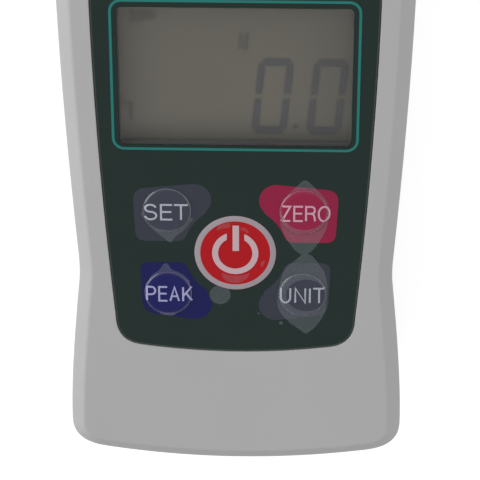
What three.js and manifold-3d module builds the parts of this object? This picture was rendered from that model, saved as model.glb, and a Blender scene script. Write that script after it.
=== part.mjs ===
// Handheld digital force gauge, lying on its back: X is its width, +Y points out of its measuring end, +Z
// out of its display. Sizes are in millimetres. While it is built, Y counts from the end that holds the
// sockets and Z from the back; at the end the whole gauge is moved so that its origin is at the middle of its
// base. The casing is drawn round what it holds: it comes out 66 wide, 156 long and 35.6 deep.
import * as THREE from "three";
import { mergeVertices } from "three/addons/utils/BufferGeometryUtils.js";
import Module from "manifold-3d";

const wasm = await Module();
wasm.setup();

// Clearances
const fit = 0.3; // round a piece in its hole, and between moving pieces
const seat = 0.1; // under a piece that rests flat on another
const overrun = 1; // how far a cutter runs past what it cuts
const weld = 0.0001; // corners closer than this are one corner

// Facets of the round pieces
const fineSides = 24;
const plainSides = 16;
const smallSides = 10;

// Casing outline, half of it mirrored about the middle; its waist is as wide as the battery needs
const widestSwell = 2.7; // past the waist, on each side
const baseFlare = 2.7;
const shoulderDraw = 0.8;
const waistHeight = 41.9;
const waistBlend = 2.8;
const widestToTop = 48;
const baseCornerHeight = 8.5;
const baseCornerReach = 6.5;
const baseSwell = 2.1;
const shoulderRise = 14;
const shoulderReach = 14;
const lowerPullShare = 0.69;
const upperPullShare = 0.61;

// Casing walls and edges
const sideWall = 2.4;
const faceWall = 2.4;
const backWall = 2.4;
const rimChamferWidth = 2.6;
const rimChamferDepth = 2;
const backEdgeWidth = 3.5;
const backEdgeHeight = 3.5;
const backEdgeBendShares = [0.34, 0.29];
const seamUnderBoard = 2.5;
const seamGap = 0.3;
const lipDepth = 1.6;
const lipWall = 1;
const lipRoot = 3;

// Graphic overlay and its recess
const overlayThickness = 0.5;
const recessDepth = 0.8;
const recessMargin = 0.15;
const overlayBorder = 6.3;
const overlayLowBorder = 6.95;
const overlayTopBorder = 27;
const overlayUnderKeys = 21.3;
const overlayLowCornerRise = 7.5;
const overlayLowCornerReach = 4.85;
const overlayTopCornerRise = 7;
const overlayTopCornerReach = 5.5;
const overlaySwell = 1.3;
const overlayPullShare = 0.53;

// Display: clear window, glass, frame, backlight and the conductive strips
const windowBorder = 5;
const windowLength = 27.4;
const windowCorner = 0.8;
const windowLedge = 1.5;
const windowFlange = 1;
const displaySink = 3.45;
const displaySideCover = 1.8; // how far the display reaches under the window's edges
const displayEndCover = 2.8;
const displayThickness = 2.8;
const displayLedge = 1;
const frameWall = 1.6;
const frameLedgeThickness = 0.9;
const frameKeyGap = 3.12;
const backlightSideGap = 1.7;
const backlightStripGap = 1.1;
const backlightThickness = 2;
const stripInset = 2.5;
const stripThickness = 1.6;

// Keys
const powerKeyHeight = 47;
const keyGap = 0.94; // between the flanges of the power key and of each key round it
const keyAngle = 34; // degrees, from the power key to the upper right one
const keyRadius = 4.63;
const powerKeyRadius = 7.87;
const keyFlangeOver = 1.15;
const keyFlangeThickness = 0.8;
const keyRise = 0.65;
const keyRimWidth = 0.55;
const keyRimRound = 0.22;
const keyDish = 0.25;
const keyBossRadius = 2.2;
const keyBossDrop = 0.4;
const keyTravel = 0.4;

// Switches under the keys
const switchWidth = 6;
const switchHeight = 3.5;
const switchEdge = 0.5;
const plungerRadius = 1.7;
const plungerStandOut = 1.4;
const plungerGuide = 1.2;

// Main board and its screws
const boardThickness = 1.6;
const boardSideGap = 2.1;
const boardPillarGap = 2.2;
const boardBottomHeight = 6;
const boardNeckGap = 3.2;
const boardScrewInset = 3.5;
const boardScrewLowHeight = 26;
const boardFrameGap = 0.7;
const boardBossWall = 1.6;
const boardScrewRadius = 1.2;
const boardScrewLength = 6.5;
const boardScrewHeadRadius = 2.3;
const boardScrewHeadHeight = 1.7;
const processorWidth = 14;
const processorThickness = 1.6;
const processorHeight = 40;
const amplifierWidth = 7.5;
const amplifierLength = 10;
const amplifierThickness = 1.8;
const amplifierAnchorGap = 0.5;
const chipEdge = 0.4;

// Case screws and their pillars
const caseScrewLowInset = 7.5;
const caseScrewHighInset = 7.7;
const caseScrewLowHeight = 12;
const caseScrewToTop = 14;
const casePillarWall = 1.1;
const caseScrewRadius = 1.5;
const caseScrewHeadRadius = 2.7;
const caseScrewHeadHeight = 2;
const caseScrewSink = 1.4;
const caseScrewGrip = 7;
const crossWidth = 0.7;
const crossDepth = 1;

// Chassis plate, anchor block and load cell
const chassisPad = 1;
const chassisThickness = 2.5;
const chassisBorder = 2.2;
const chassisEndBorder = 1.7;
const chassisCradleGap = 1;
const chassisCorner = 3;
const chassisScrewInset = 3.1;
const chassisScrewOffset = 4;
const chassisScrewRadius = 1.4;
const chassisScrewHeadRadius = 2.6;
const chassisScrewHeadHeight = 1.8;
const chassisPadRadius = 4;
const chassisScrewBite = 1.6;
const insertSpacingAcross = 32;
const insertSpacingAlong = 40;
const insertAnchorGap = 1.7;
const insertRadius = 3;
const insertBore = 1.65;
const insertFlangeOver = 1.3;
const insertFlangeThickness = 0.9;
const insertSink = 0.3;
const insertPadWall = 1;
const anchorWidth = 32;
const anchorLength = 14;
const anchorScrewInset = 5;
const anchorScrewRadius = 2;
const anchorScrewHeadRadius = 3.4;
const anchorScrewHeadHeight = 3.8;
const anchorScrewSink = 0.5;
const anchorBoltRadius = 3;
const anchorBoltBite = 9;
const anchorBoltHeadRadius = 4.9;
const anchorBoltHeadHeight = 5.6;
const anchorBoltSink = 0.4;
const socketAcross = 2.4;
const socketDepthShare = 0.5;
const cellLength = 46;
const cellWidth = 36;
const cellThickness = 12.7;
const cellSlotWidth = 2;
const cellSlotInset = 10;
const cellSlotReach = 28;
const cellWindowRadius = 4.4;
const cellWindowSpacing = 13;
const cellWindowSlit = 2.4;
const cellScrewGap = 0.75; // over the heads of the chassis screws
const cellBoardGap = 2.65;

// Measuring shaft, its bush, the lock nut and the hook
const shaftInside = 20.6; // from its collar to the bush
const shaftRadius = 4;
const shaftStandOut = 8;
const shaftCollarRadius = 6;
const shaftCollarLength = 3;
const shaftFlatAcross = 7;
const shaftFlatLength = 5;
const shaftTravel = 0.2;
const threadRadius = 3;
const threadLength = 16;
const threadChamfer = 0.5;
const spigotFloor = 1; // left between the end of its hole and the slot
const bushFlangeRadius = 6.2;
const bushFlangeThickness = 1.5;
const bushSleeveRadius = 5.3;
const bushBoreGap = 0.6;
const bushSleeveInside = 1.2;
const nutAcross = 10;
const nutThickness = 5;
const nutStandOff = 2.5;
const nutChamfer = 0.5;
const hookBaseRadius = 5;
const hookBaseLength = 14;
const hookBaseChamfer = 1;
const hookBoreLength = 10;
const hookWireRadius = 2.4;
const hookBowlRadius = 11.5;
const hookDrop = 30.3;
const hookStartAngle = 205;
const hookTipAngle = -25;
const hookStartPullShare = 0.42;
const hookEndPullShare = 0.35;

// Battery, its cradle, sockets and leads
const batteryRadius = 7.1;
const batteryLength = 49;
const batteryPoleRadius = 2.6;
const batteryPoleLength = 1;
const batteryCount = 3;
const cradleWall = 1.2;
const cradleSideGap = 0.9;
const cradleSocketGap = 0.9;
const cradleHeight = 12;
const socketFaceGap = 1.2;
const chargerWidth = 9;
const chargerHeight = 11;
const chargerLength = 14;
const chargerAxisDrop = 6.5;
const chargerBore = 2.75;
const chargerBoreLength = 9;
const chargerPin = 1;
const chargerOffset = 10;
const chargerHole = 3.6;
const dataWidth = 12;
const dataHeight = 11;
const dataLength = 15;
const dataMouthWidth = 8;
const dataMouthHeight = 7.2;
const dataMouthDrop = 3.3;
const dataMouthLength = 9;
const dataTongueWidth = 5.4;
const dataTongueHeight = 2.6;
const dataOffset = 9.5;
const leadRadius = 0.8;
const leadBend = 2.5;
const leadInset = 15.2;
const cellCableInset = 7.7;
const cellCableRadius = 1.2;

// Rating plate recess in the back
const plateWidth = 40;
const plateLength = 24;
const plateDepth = 0.4;
const plateCorner = 2;
const plateHeight = 48;

// Levels, from the back up: chassis, load cell, board, switches, keys, and the face over them
const chassisBottom = backWall + chassisPad + seat;
const chassisTop = chassisBottom + chassisThickness;
const anchorBottom = chassisTop + seat;
const shaftAxisHeight = anchorBottom + chassisScrewHeadHeight + cellScrewGap + cellThickness / 2;
const boardBottom = shaftAxisHeight + cellThickness / 2 + cellBoardGap;
const boardTop = boardBottom + boardThickness;
const switchBottom = boardTop + seat;
const switchTop = switchBottom + switchHeight;
const keyBottom = switchTop + plungerStandOut + fit;
const keyFlangeBottom = keyBottom + keyBossDrop;
const keyFlangeTop = keyFlangeBottom + keyFlangeThickness;
const faceInside = keyFlangeTop + fit;
const recessFloor = faceInside + faceWall;
const casingDepth = recessFloor + recessDepth;
const overlayBottom = recessFloor + seat;
const overlayTop = overlayBottom + overlayThickness;
const keyTop = overlayTop + keyRise;
const displayTop = overlayTop - displaySink;
const displayBottom = displayTop - displayThickness;
const seamHeight = boardBottom - seamUnderBoard;
const rearPillarTop = seamHeight - seamGap - lipDepth - fit;
const frontPillarBottom = seamHeight - lipDepth;
const caseScrewSeat = caseScrewSink + caseScrewHeadHeight;
const caseScrewTop = frontPillarBottom + caseScrewGrip;

// Places along the gauge: sockets, batteries, chassis, load cell, shaft, and the casing's end
const socketStart = sideWall + fit + lipWall + socketFaceGap;
const cradleBottomHeight = socketStart + Math.max(chargerLength, dataLength) + cradleSocketGap;
const batteryPitch = 2 * batteryRadius + fit;
const firstBattery = cradleBottomHeight + cradleWall + fit + batteryRadius;
const lastBattery = firstBattery + (batteryCount - 1) * batteryPitch;
const cradleTopHeight = lastBattery + batteryRadius + fit + cradleWall;
const chassisBottomHeight = cradleTopHeight + chassisCradleGap;
const cellBottomHeight = chassisBottomHeight + anchorLength + fit;
const cellTopHeight = cellBottomHeight + cellLength;
const insertFlangeRadius = insertRadius + insertFlangeOver;
const insertLowHeight = chassisBottomHeight + anchorLength + insertAnchorGap + insertFlangeRadius;
const insertHighHeight = insertLowHeight + insertSpacingAlong;
const chassisTopHeight = insertHighHeight + insertFlangeRadius + chassisEndBorder;
const chassisScrewHeight = (insertLowHeight + insertHighHeight) / 2 - chassisScrewOffset;
const collarStart = cellTopHeight + shaftTravel + fit;
const spigotLength = cellSlotInset - spigotFloor;
const spigotStart = collarStart - spigotLength;
const bushStart = collarStart + shaftCollarLength + shaftInside;
const casingLength = bushStart + bushSleeveInside + sideWall;
const widestHeight = casingLength - widestToTop;
const overlayTopHeight = casingLength - overlayTopBorder;
const caseScrewHighHeight = casingLength - caseScrewToTop;
const amplifierHeight = chassisBottomHeight - amplifierAnchorGap - amplifierLength / 2;
const cellCableHeight = cellBottomHeight + cellCableInset;
const batteryLeadHeight = cradleBottomHeight + leadInset;

// Places along the face: keys, display, board
const keyFlangeRadius = keyRadius + keyFlangeOver;
const keyReach = powerKeyRadius + keyFlangeOver + keyGap + keyFlangeRadius;
const keyAcross = keyReach * Math.cos(THREE.MathUtils.degToRad(keyAngle));
const keyAlong = keyReach * Math.sin(THREE.MathUtils.degToRad(keyAngle));
const overlayBottomHeight = powerKeyHeight - overlayUnderKeys;
const displayLength = windowLength + 2 * displayEndCover;
const frameHalfLength = displayLength / 2 + fit + frameWall;
const windowCentreHeight = powerKeyHeight + keyAlong + keyFlangeRadius + frameKeyGap + frameHalfLength;
const boardBossRadius = boardScrewRadius + boardBossWall;
const boardScrewHighHeight = windowCentreHeight + frameHalfLength + boardFrameGap + boardBossRadius;
const boardTopHeight = boardScrewHighHeight + boardScrewInset;
const casePillarRadius = caseScrewHeadRadius + casePillarWall;
const boardNeckHeight = caseScrewLowHeight + casePillarRadius + boardNeckGap;

// Widths: the battery sets the waist, and the rest of the casing and what is in it follow
const cradleHalf = batteryLength / 2 + batteryPoleLength + fit + cradleWall;
const waistWidth = 2 * (cradleHalf + cradleSideGap + sideWall);
const casingWidth = waistWidth + 2 * widestSwell;
const baseWidth = waistWidth + 2 * baseFlare;
const shoulderWidth = casingWidth - 2 * shoulderDraw;
const overlayWidth = casingWidth - 2 * overlayBorder;
const overlayLowWidth = waistWidth - 2 * overlayLowBorder;
const windowWidth = overlayWidth - 2 * windowBorder;
const displayWidth = windowWidth + 2 * displaySideCover;
const caseScrewLowSpacing = baseWidth - 2 * caseScrewLowInset;
const caseScrewHighSpacing = shoulderWidth - 2 * caseScrewHighInset;
const boardWidth = waistWidth - 2 * (sideWall + boardSideGap);
const boardNeckWidth = caseScrewLowSpacing - 2 * (casePillarRadius + boardPillarGap);
const boardScrewSpacing = boardWidth - 2 * boardScrewInset;
const chassisWidth = insertSpacingAcross + 2 * (insertFlangeRadius + chassisBorder);
const chassisScrewSpacing = chassisWidth - 2 * chassisScrewInset;

// Solids: joining, cutting and the few basic shapes

function solid(geometry) {
  const bare = geometry.index ? geometry.clone() : geometry;
  bare.deleteAttribute("normal");
  bare.deleteAttribute("uv");
  const merged = mergeVertices(bare, weld);
  const triangles = [];
  for (let i = 0; i < merged.index.count; i += 3) {
    const [a, b, c] = [0, 1, 2].map((k) => merged.index.getX(i + k));
    if (a !== b && b !== c && c !== a) triangles.push(a, b, c);
  }
  return new wasm.Manifold(
    new wasm.Mesh({
      numProp: 3,
      vertProperties: new Float32Array(merged.attributes.position.array),
      triVerts: new Uint32Array(triangles),
    }),
  );
}

function surface(body) {
  const made = body.getMesh();
  const geometry = new THREE.BufferGeometry();
  geometry.setAttribute("position", new THREE.BufferAttribute(new Float32Array(made.vertProperties), 3));
  geometry.setIndex(new THREE.BufferAttribute(new Uint32Array(made.triVerts), 1));
  const faceted = geometry.toNonIndexed();
  faceted.computeVertexNormals();
  return faceted;
}

// A straight prism of an outline, from one height to another
function prism(shape, bottom, top, curveSegments = 8) {
  const settings = { depth: top - bottom, bevelEnabled: false, curveSegments };
  return solid(new THREE.ExtrudeGeometry(shape, settings).translate(0, 0, bottom));
}

function box(low, high) {
  const size = high.map((value, k) => value - low[k]);
  const middle = high.map((value, k) => (value + low[k]) / 2);
  return solid(new THREE.BoxGeometry(...size).translate(...middle));
}

// A turned piece: profile points are [radius, distance along the axis], and start and end on the axis
function turnedAlongY(profile, sides = plainSides) {
  return solid(new THREE.LatheGeometry(profile.map(([r, y]) => new THREE.Vector2(r, y)), sides));
}

function turnedAlongZ(profile, sides = plainSides) {
  const lathe = new THREE.LatheGeometry(profile.map(([r, z]) => new THREE.Vector2(r, z)), sides);
  return solid(lathe.rotateX(Math.PI / 2));
}

function rod(radius, bottom, top, sides = plainSides) {
  return turnedAlongZ([[0, bottom], [radius, bottom], [radius, top], [0, top]], sides);
}

function rodAlongY(radius, start, end, sides = plainSides) {
  return turnedAlongY([[0, start], [radius, start], [radius, end], [0, end]], sides);
}

function roundedRectangle(width, length, corner) {
  const [x, y] = [width / 2, length / 2];
  const shape = new THREE.Shape();
  shape.moveTo(-x + corner, -y);
  shape.lineTo(x - corner, -y);
  shape.absarc(x - corner, -y + corner, corner, -Math.PI / 2, 0, false);
  shape.lineTo(x, y - corner);
  shape.absarc(x - corner, y - corner, corner, 0, Math.PI / 2, false);
  shape.lineTo(-x + corner, y);
  shape.absarc(-x + corner, y - corner, corner, Math.PI / 2, Math.PI, false);
  shape.lineTo(-x, -y + corner);
  shape.absarc(-x + corner, -y + corner, corner, Math.PI, 1.5 * Math.PI, false);
  return shape;
}

// A solid whose outline changes from layer to layer: each layer is a list of points and its height
function stack(layers) {
  const count = layers[0].points.length;
  const positions = layers.flatMap(({ points, height }) => points.flatMap((p) => [p.x, p.y, height]));
  const index = [];
  for (let layer = 0; layer + 1 < layers.length; layer++) {
    for (let i = 0; i < count; i++) {
      const a = layer * count + i;
      const b = layer * count + ((i + 1) % count);
      index.push(a, b, b + count, a, b + count, a + count);
    }
  }
  const cap = THREE.ShapeUtils.triangulateShape(layers[0].points, []);
  const last = (layers.length - 1) * count;
  for (const [a, b, c] of cap) index.push(a, c, b, a + last, b + last, c + last);
  const geometry = new THREE.BufferGeometry();
  geometry.setAttribute("position", new THREE.Float32BufferAttribute(positions, 3));
  geometry.setIndex(index);
  return solid(geometry);
}

// The same outline moved inwards by a distance, corner by corner
function inset(points, distance) {
  return points.map((point, i) => {
    const before = points[(i + points.length - 1) % points.length];
    const after = points[(i + 1) % points.length];
    const into = point.clone().sub(before).normalize();
    const out = after.clone().sub(point).normalize();
    const normal = new THREE.Vector2(-into.y - out.y, into.x + out.x).normalize();
    const reach = distance / Math.max(0.5, normal.x * -into.y + normal.y * into.x);
    return point.clone().addScaledVector(normal, reach);
  });
}

// Turns the right-hand side of an outline, from bottom to top, into the whole of it
function mirrored(side) {
  const left = side.slice(1, -1).reverse().map((p) => new THREE.Vector2(-p.x, p.y));
  return [...side, ...left];
}

function samples(path, counts) {
  const points = [path.curves[0].getPoint(0)];
  path.curves.forEach((curve, i) => {
    for (let k = 1; k <= counts[i]; k++) points.push(curve.getPoint(k / counts[i]));
  });
  return points;
}

function casingOutline() {
  const half = casingWidth / 2;
  const baseHalf = baseWidth / 2;
  const waistHalf = waistWidth / 2;
  const shoulderHalf = shoulderWidth / 2;
  const cornerStart = baseHalf - baseCornerReach;
  const cornerSlope = (2 * baseSwell) / cornerStart;
  const lowerPull = waistHeight - lowerPullShare * (waistHeight - baseCornerHeight);
  const upperPull = waistHeight + upperPullShare * (widestHeight - waistHeight);
  const waist = new THREE.Vector2(waistHalf, waistHeight);
  const below = new THREE.Vector2(baseHalf, lowerPull).sub(waist).setLength(waistBlend).add(waist);
  const above = new THREE.Vector2(half, upperPull).sub(waist).setLength(waistBlend).add(waist);
  const shoulderHeight = casingLength - shoulderRise;
  const side = new THREE.Path();
  side.moveTo(0, 0);
  side.quadraticCurveTo(cornerStart / 2, 0, cornerStart, baseSwell);
  side.quadraticCurveTo(baseHalf, baseSwell + cornerSlope * baseCornerReach, baseHalf, baseCornerHeight);
  side.quadraticCurveTo(baseHalf, lowerPull, below.x, below.y);
  side.quadraticCurveTo(waist.x, waist.y, above.x, above.y);
  side.quadraticCurveTo(half, upperPull, half, widestHeight);
  side.quadraticCurveTo(half, (widestHeight + shoulderHeight) / 2, shoulderHalf, shoulderHeight);
  side.quadraticCurveTo(shoulderHalf, casingLength, shoulderHalf - shoulderReach, casingLength);
  side.lineTo(0, casingLength);
  return mirrored(samples(side, [4, 4, 4, 2, 5, 3, 5, 1]));
}

function overlayOutline(margin) {
  const half = overlayWidth / 2;
  const lowHalf = overlayLowWidth / 2;
  const lowHeight = overlayBottomHeight + overlayLowCornerRise;
  const highHeight = overlayTopHeight - overlayTopCornerRise;
  const lowStart = lowHalf - overlayLowCornerReach;
  const highStart = half - overlayTopCornerReach;
  const lowSlope = (2 * overlaySwell) / lowStart;
  const highSlope = (2 * overlaySwell) / highStart;
  const side = new THREE.Path();
  side.moveTo(0, overlayBottomHeight);
  side.quadraticCurveTo(lowStart / 2, overlayBottomHeight, lowStart, overlayBottomHeight + overlaySwell);
  side.quadraticCurveTo(
    lowHalf,
    overlayBottomHeight + overlaySwell + lowSlope * overlayLowCornerReach,
    lowHalf,
    lowHeight,
  );
  side.quadraticCurveTo(half, lowHeight + overlayPullShare * (widestHeight - lowHeight), half, widestHeight);
  side.lineTo(half, highHeight);
  side.quadraticCurveTo(
    half,
    overlayTopHeight - overlaySwell - highSlope * overlayTopCornerReach,
    highStart,
    overlayTopHeight - overlaySwell,
  );
  side.quadraticCurveTo(highStart / 2, overlayTopHeight, 0, overlayTopHeight);
  return inset(mirrored(samples(side, [3, 5, 5, 1, 5, 3])), -margin);
}

// Places of the repeated pieces

function corners(spacings, heights) {
  return heights.flatMap((height, k) => [-1, 1].map((side) => [(side * spacings[k]) / 2, height]));
}

const keyPlaces = {
  set: [-keyAcross, powerKeyHeight + keyAlong],
  zero: [keyAcross, powerKeyHeight + keyAlong],
  power: [0, powerKeyHeight],
  peak: [-keyAcross, powerKeyHeight - keyAlong],
  unit: [keyAcross, powerKeyHeight - keyAlong],
};
const keyRadii = { set: keyRadius, zero: keyRadius, power: powerKeyRadius, peak: keyRadius, unit: keyRadius };
const caseScrewPlaces = corners(
  [caseScrewLowSpacing, caseScrewHighSpacing],
  [caseScrewLowHeight, caseScrewHighHeight],
);
const boardScrewPlaces = corners(
  [boardScrewSpacing, boardScrewSpacing],
  [boardScrewLowHeight, boardScrewHighHeight],
);
const insertPlaces = corners(
  [insertSpacingAcross, insertSpacingAcross],
  [insertLowHeight, insertHighHeight],
);
const chassisScrewPlaces = corners([chassisScrewSpacing], [chassisScrewHeight]);
const anchorScrewPlaces = corners(
  [anchorWidth - 2 * anchorScrewInset],
  [chassisBottomHeight + anchorLength / 2],
);

function at(body, [x, y], z = 0) {
  return body.translate([x, y, z]);
}

// A hole for a screw's shank, with clearance round it
function drill(radius, bottom, top, place) {
  return at(rod(radius + fit, bottom, top, smallSides), place);
}

// Casing

const outline = casingOutline();

function windowOpening(width, length, bottom, top) {
  const shape = roundedRectangle(width, length, windowCorner);
  return at(prism(shape, bottom, top, 3), [0, windowCentreHeight]);
}

function keyHoles(bottom, top) {
  return Object.entries(keyPlaces).map(([key, place]) => {
    return at(rod(keyRadii[key] + fit, bottom, top, fineSides), place);
  });
}

function frontCover() {
  let cover = stack([
    { points: outline, height: seamHeight },
    { points: outline, height: casingDepth - rimChamferDepth },
    { points: inset(outline, rimChamferWidth), height: casingDepth },
  ]);
  const inner = inset(outline, sideWall);
  cover = cover.subtract(stack([
    { points: inner, height: seamHeight - overrun },
    { points: inner, height: faceInside },
  ]));
  cover = cover.add(lip());
  for (const place of caseScrewPlaces) {
    cover = cover.add(at(rod(casePillarRadius, frontPillarBottom, faceInside + overrun), place));
    cover = cover.subtract(drill(caseScrewRadius, frontPillarBottom - overrun, caseScrewTop + fit, place));
  }
  for (const place of boardScrewPlaces) {
    cover = cover.add(at(rod(boardBossRadius, boardTop + seat, faceInside + overrun), place));
    const pilotTop = boardBottom - seat + boardScrewLength + fit;
    cover = cover.subtract(drill(boardScrewRadius, boardTop - overrun, pilotTop, place));
  }
  const overlayRecess = overlayOutline(recessMargin);
  cover = cover.subtract(stack([
    { points: overlayRecess, height: recessFloor },
    { points: overlayRecess, height: casingDepth + overrun },
  ]));
  const ledge = 2 * (windowLedge + fit);
  const rebateFloor = recessFloor - windowFlange - seat;
  cover = cover.subtract(windowOpening(windowWidth + ledge, windowLength + ledge, rebateFloor, casingDepth));
  cover = cover.subtract(windowOpening(windowWidth, windowLength, faceInside - overrun, casingDepth));
  for (const hole of keyHoles(faceInside - overrun, casingDepth)) cover = cover.subtract(hole);
  return cover.subtract(endHoles());
}

// The lip inside the seam, which centres the two covers on each other
function lip() {
  const outside = inset(outline, sideWall + fit);
  const inside = inset(outline, sideWall + fit + lipWall);
  const root = inset(outline, sideWall / 2);
  const ring = stack([
    { points: outside, height: seamHeight - lipDepth },
    { points: outside, height: seamHeight + fit },
    { points: root, height: seamHeight + fit + sideWall },
    { points: root, height: seamHeight + lipRoot + sideWall },
  ]);
  return ring.subtract(stack([
    { points: inside, height: seamHeight - lipDepth - overrun },
    { points: inside, height: seamHeight + lipRoot + sideWall + overrun },
  ]));
}

function rearCover() {
  const [bendIn, bendUp] = backEdgeBendShares;
  const top = seamHeight - seamGap;
  let cover = stack([
    { points: inset(outline, backEdgeWidth), height: 0 },
    { points: inset(outline, backEdgeWidth * bendIn), height: backEdgeHeight * bendUp },
    { points: outline, height: backEdgeHeight },
    { points: outline, height: top },
  ]);
  const inner = inset(outline, sideWall);
  const floor = inset(outline, sideWall + backEdgeWidth * bendIn);
  cover = cover.subtract(stack([
    { points: floor, height: backWall },
    { points: inner, height: backWall + backEdgeHeight * bendUp },
    { points: inner, height: top + overrun },
  ]));
  for (const place of caseScrewPlaces) {
    const headHole = caseScrewHeadRadius + fit;
    cover = cover.add(at(rod(casePillarRadius, backWall - overrun, rearPillarTop), place));
    cover = cover.subtract(at(rod(headHole, -overrun, caseScrewSeat + seat), place));
    cover = cover.subtract(drill(caseScrewRadius, 0, rearPillarTop + overrun, place));
  }
  for (const place of chassisScrewPlaces) {
    cover = cover.add(at(rod(chassisPadRadius, backWall - overrun, backWall + chassisPad), place));
    const pilotBottom = backWall + chassisPad - chassisScrewBite - fit;
    cover = cover.subtract(drill(chassisScrewRadius, pilotBottom, chassisBottom + overrun, place));
  }
  for (const place of insertPlaces) {
    const ring = insertRadius + fit + insertPadWall;
    cover = cover.add(at(rod(ring, backWall - overrun, backWall + chassisPad), place));
    cover = cover.subtract(at(rod(insertRadius + fit, -overrun, chassisBottom + overrun), place));
  }
  const plate = roundedRectangle(plateWidth, plateLength, plateCorner);
  cover = cover.subtract(at(prism(plate, -overrun, plateDepth, 4), [0, plateHeight]));
  return cover.subtract(endHoles());
}

// The holes through both ends: for the shaft's bush, the charger's plug, and the square data plug
function endHoles() {
  const shaftHoleStart = casingLength - sideWall - fit - lipWall - overrun;
  const shaftHole = rodAlongY(bushSleeveRadius + fit, shaftHoleStart, casingLength + overrun);
  const end = socketStart + baseSwell;
  const jackHole = at(rodAlongY(chargerHole, -overrun, end), [-chargerOffset, 0], chargerAxis());
  const mouth = dataMouth();
  const slotLow = [dataOffset - dataMouthWidth / 2 - fit, -overrun, mouth.bottom - fit];
  const slotHigh = [dataOffset + dataMouthWidth / 2 + fit, end, mouth.top + fit];
  return jackHole.add(box(slotLow, slotHigh)).add(at(shaftHole, [0, 0], shaftAxisHeight));
}

function graphicOverlay() {
  let sheet = stack([
    { points: overlayOutline(0), height: overlayBottom },
    { points: overlayOutline(0), height: overlayTop },
  ]);
  const [low, high] = [overlayBottom - overrun, overlayTop + overrun];
  sheet = sheet.subtract(windowOpening(windowWidth, windowLength, low, high));
  for (const hole of keyHoles(low, high)) sheet = sheet.subtract(hole);
  return sheet;
}

// A clear pane with a flange under the overlay and a raised middle that fills the overlay's opening
function displayWindow() {
  const flangeBottom = recessFloor - windowFlange;
  const ledge = 2 * windowLedge;
  const flange = windowOpening(windowWidth + ledge, windowLength + ledge, flangeBottom, recessFloor);
  const middle = windowOpening(windowWidth - 2 * fit, windowLength - 2 * fit, flangeBottom, overlayTop);
  return flange.add(middle);
}

// Keys and switches, each made about its own middle

function keyCap(radius) {
  const flange = radius + keyFlangeOver;
  const rimInside = radius - keyRimWidth;
  return turnedAlongZ([
    [0, keyBottom],
    [keyBossRadius, keyBottom],
    [keyBossRadius, keyFlangeBottom],
    [flange, keyFlangeBottom],
    [flange, keyFlangeTop],
    [radius, keyFlangeTop],
    [radius, keyTop - keyRimRound],
    [radius - keyRimRound, keyTop],
    [rimInside, keyTop],
    [rimInside - keyDish, keyTop - keyDish],
    [0, keyTop - keyDish],
  ], fineSides);
}

function switchBody() {
  const shape = roundedRectangle(switchWidth, switchWidth, switchEdge);
  const wellBottom = switchTop - plungerGuide - keyTravel - fit;
  return prism(shape, switchBottom, switchTop, 2).subtract(
    rod(plungerRadius + fit, wellBottom, switchTop + overrun, smallSides),
  );
}

function switchPlunger() {
  return rod(plungerRadius, switchTop - plungerGuide, switchTop + plungerStandOut, smallSides);
}

// Display

function displayGlass() {
  const shape = roundedRectangle(displayWidth, displayLength, windowCorner);
  return at(prism(shape, displayBottom, displayTop, 2), [0, windowCentreHeight]);
}

function framed(width, length, bottom, top) {
  const low = [-width / 2, windowCentreHeight - length / 2, bottom];
  return box(low, [width / 2, windowCentreHeight + length / 2, top]);
}

function displayFrame() {
  const [width, length] = [displayWidth + 2 * fit, displayLength + 2 * fit];
  const walls = 2 * frameWall;
  const ledge = 2 * displayLedge;
  const pocket = framed(width, length, displayBottom - fit, faceInside + overrun);
  const well = framed(displayWidth - ledge, displayLength - ledge, boardTop - overrun, displayTop);
  const undercutTop = displayBottom - fit - frameLedgeThickness;
  const undercut = framed(displayWidth, displayLength, boardTop - overrun, undercutTop);
  return framed(width + walls, length + walls, boardTop + seat, faceInside - seat)
    .subtract(pocket)
    .subtract(well)
    .subtract(undercut);
}

function backlight() {
  const bottom = boardTop + seat;
  const length = displayLength - 2 * (displayLedge + fit + stripThickness + backlightStripGap);
  return framed(displayWidth - 2 * backlightSideGap, length, bottom, bottom + backlightThickness);
}

function contactStrip(side) {
  const half = displayWidth / 2 - stripInset;
  const middle = windowCentreHeight + side * (displayLength / 2 - displayLedge - fit - stripThickness / 2);
  const low = [-half, middle - stripThickness / 2, boardTop + seat];
  return box(low, [half, middle + stripThickness / 2, displayBottom - seat]);
}

// Board

function mainBoard() {
  const shape = new THREE.Shape();
  shape.moveTo(-boardNeckWidth / 2, boardBottomHeight);
  shape.lineTo(boardNeckWidth / 2, boardBottomHeight);
  shape.lineTo(boardNeckWidth / 2, boardNeckHeight);
  shape.lineTo(boardWidth / 2, boardNeckHeight);
  shape.lineTo(boardWidth / 2, boardTopHeight);
  shape.lineTo(-boardWidth / 2, boardTopHeight);
  shape.lineTo(-boardWidth / 2, boardNeckHeight);
  shape.lineTo(-boardNeckWidth / 2, boardNeckHeight);
  let board = prism(shape, boardBottom, boardTop);
  for (const place of boardScrewPlaces) {
    board = board.subtract(drill(boardScrewRadius, boardBottom - overrun, boardTop + overrun, place));
  }
  return board;
}

// A chip under the board, its edges drawn in towards its face
function chip(width, length, thickness, height) {
  const body = roundedRectangle(width, length, chipEdge).getPoints(2);
  const outside = body.slice(0, -1);
  const top = boardBottom - seat;
  return at(stack([
    { points: inset(outside, chipEdge / 2), height: top - thickness },
    { points: outside, height: top - thickness / 2 },
    { points: outside, height: top },
  ]), [0, height]);
}

// Screws: the head's seat is at height 0 and the shank points up, so a turned-over screw is a rotated mesh

function crossRecess(radius, headHeight) {
  const arm = (length, width) => {
    const low = [-length / 2, -width / 2, -headHeight - overrun];
    return box(low, [length / 2, width / 2, -headHeight + crossDepth]);
  };
  return arm(radius, crossWidth).add(arm(crossWidth, radius));
}

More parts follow.
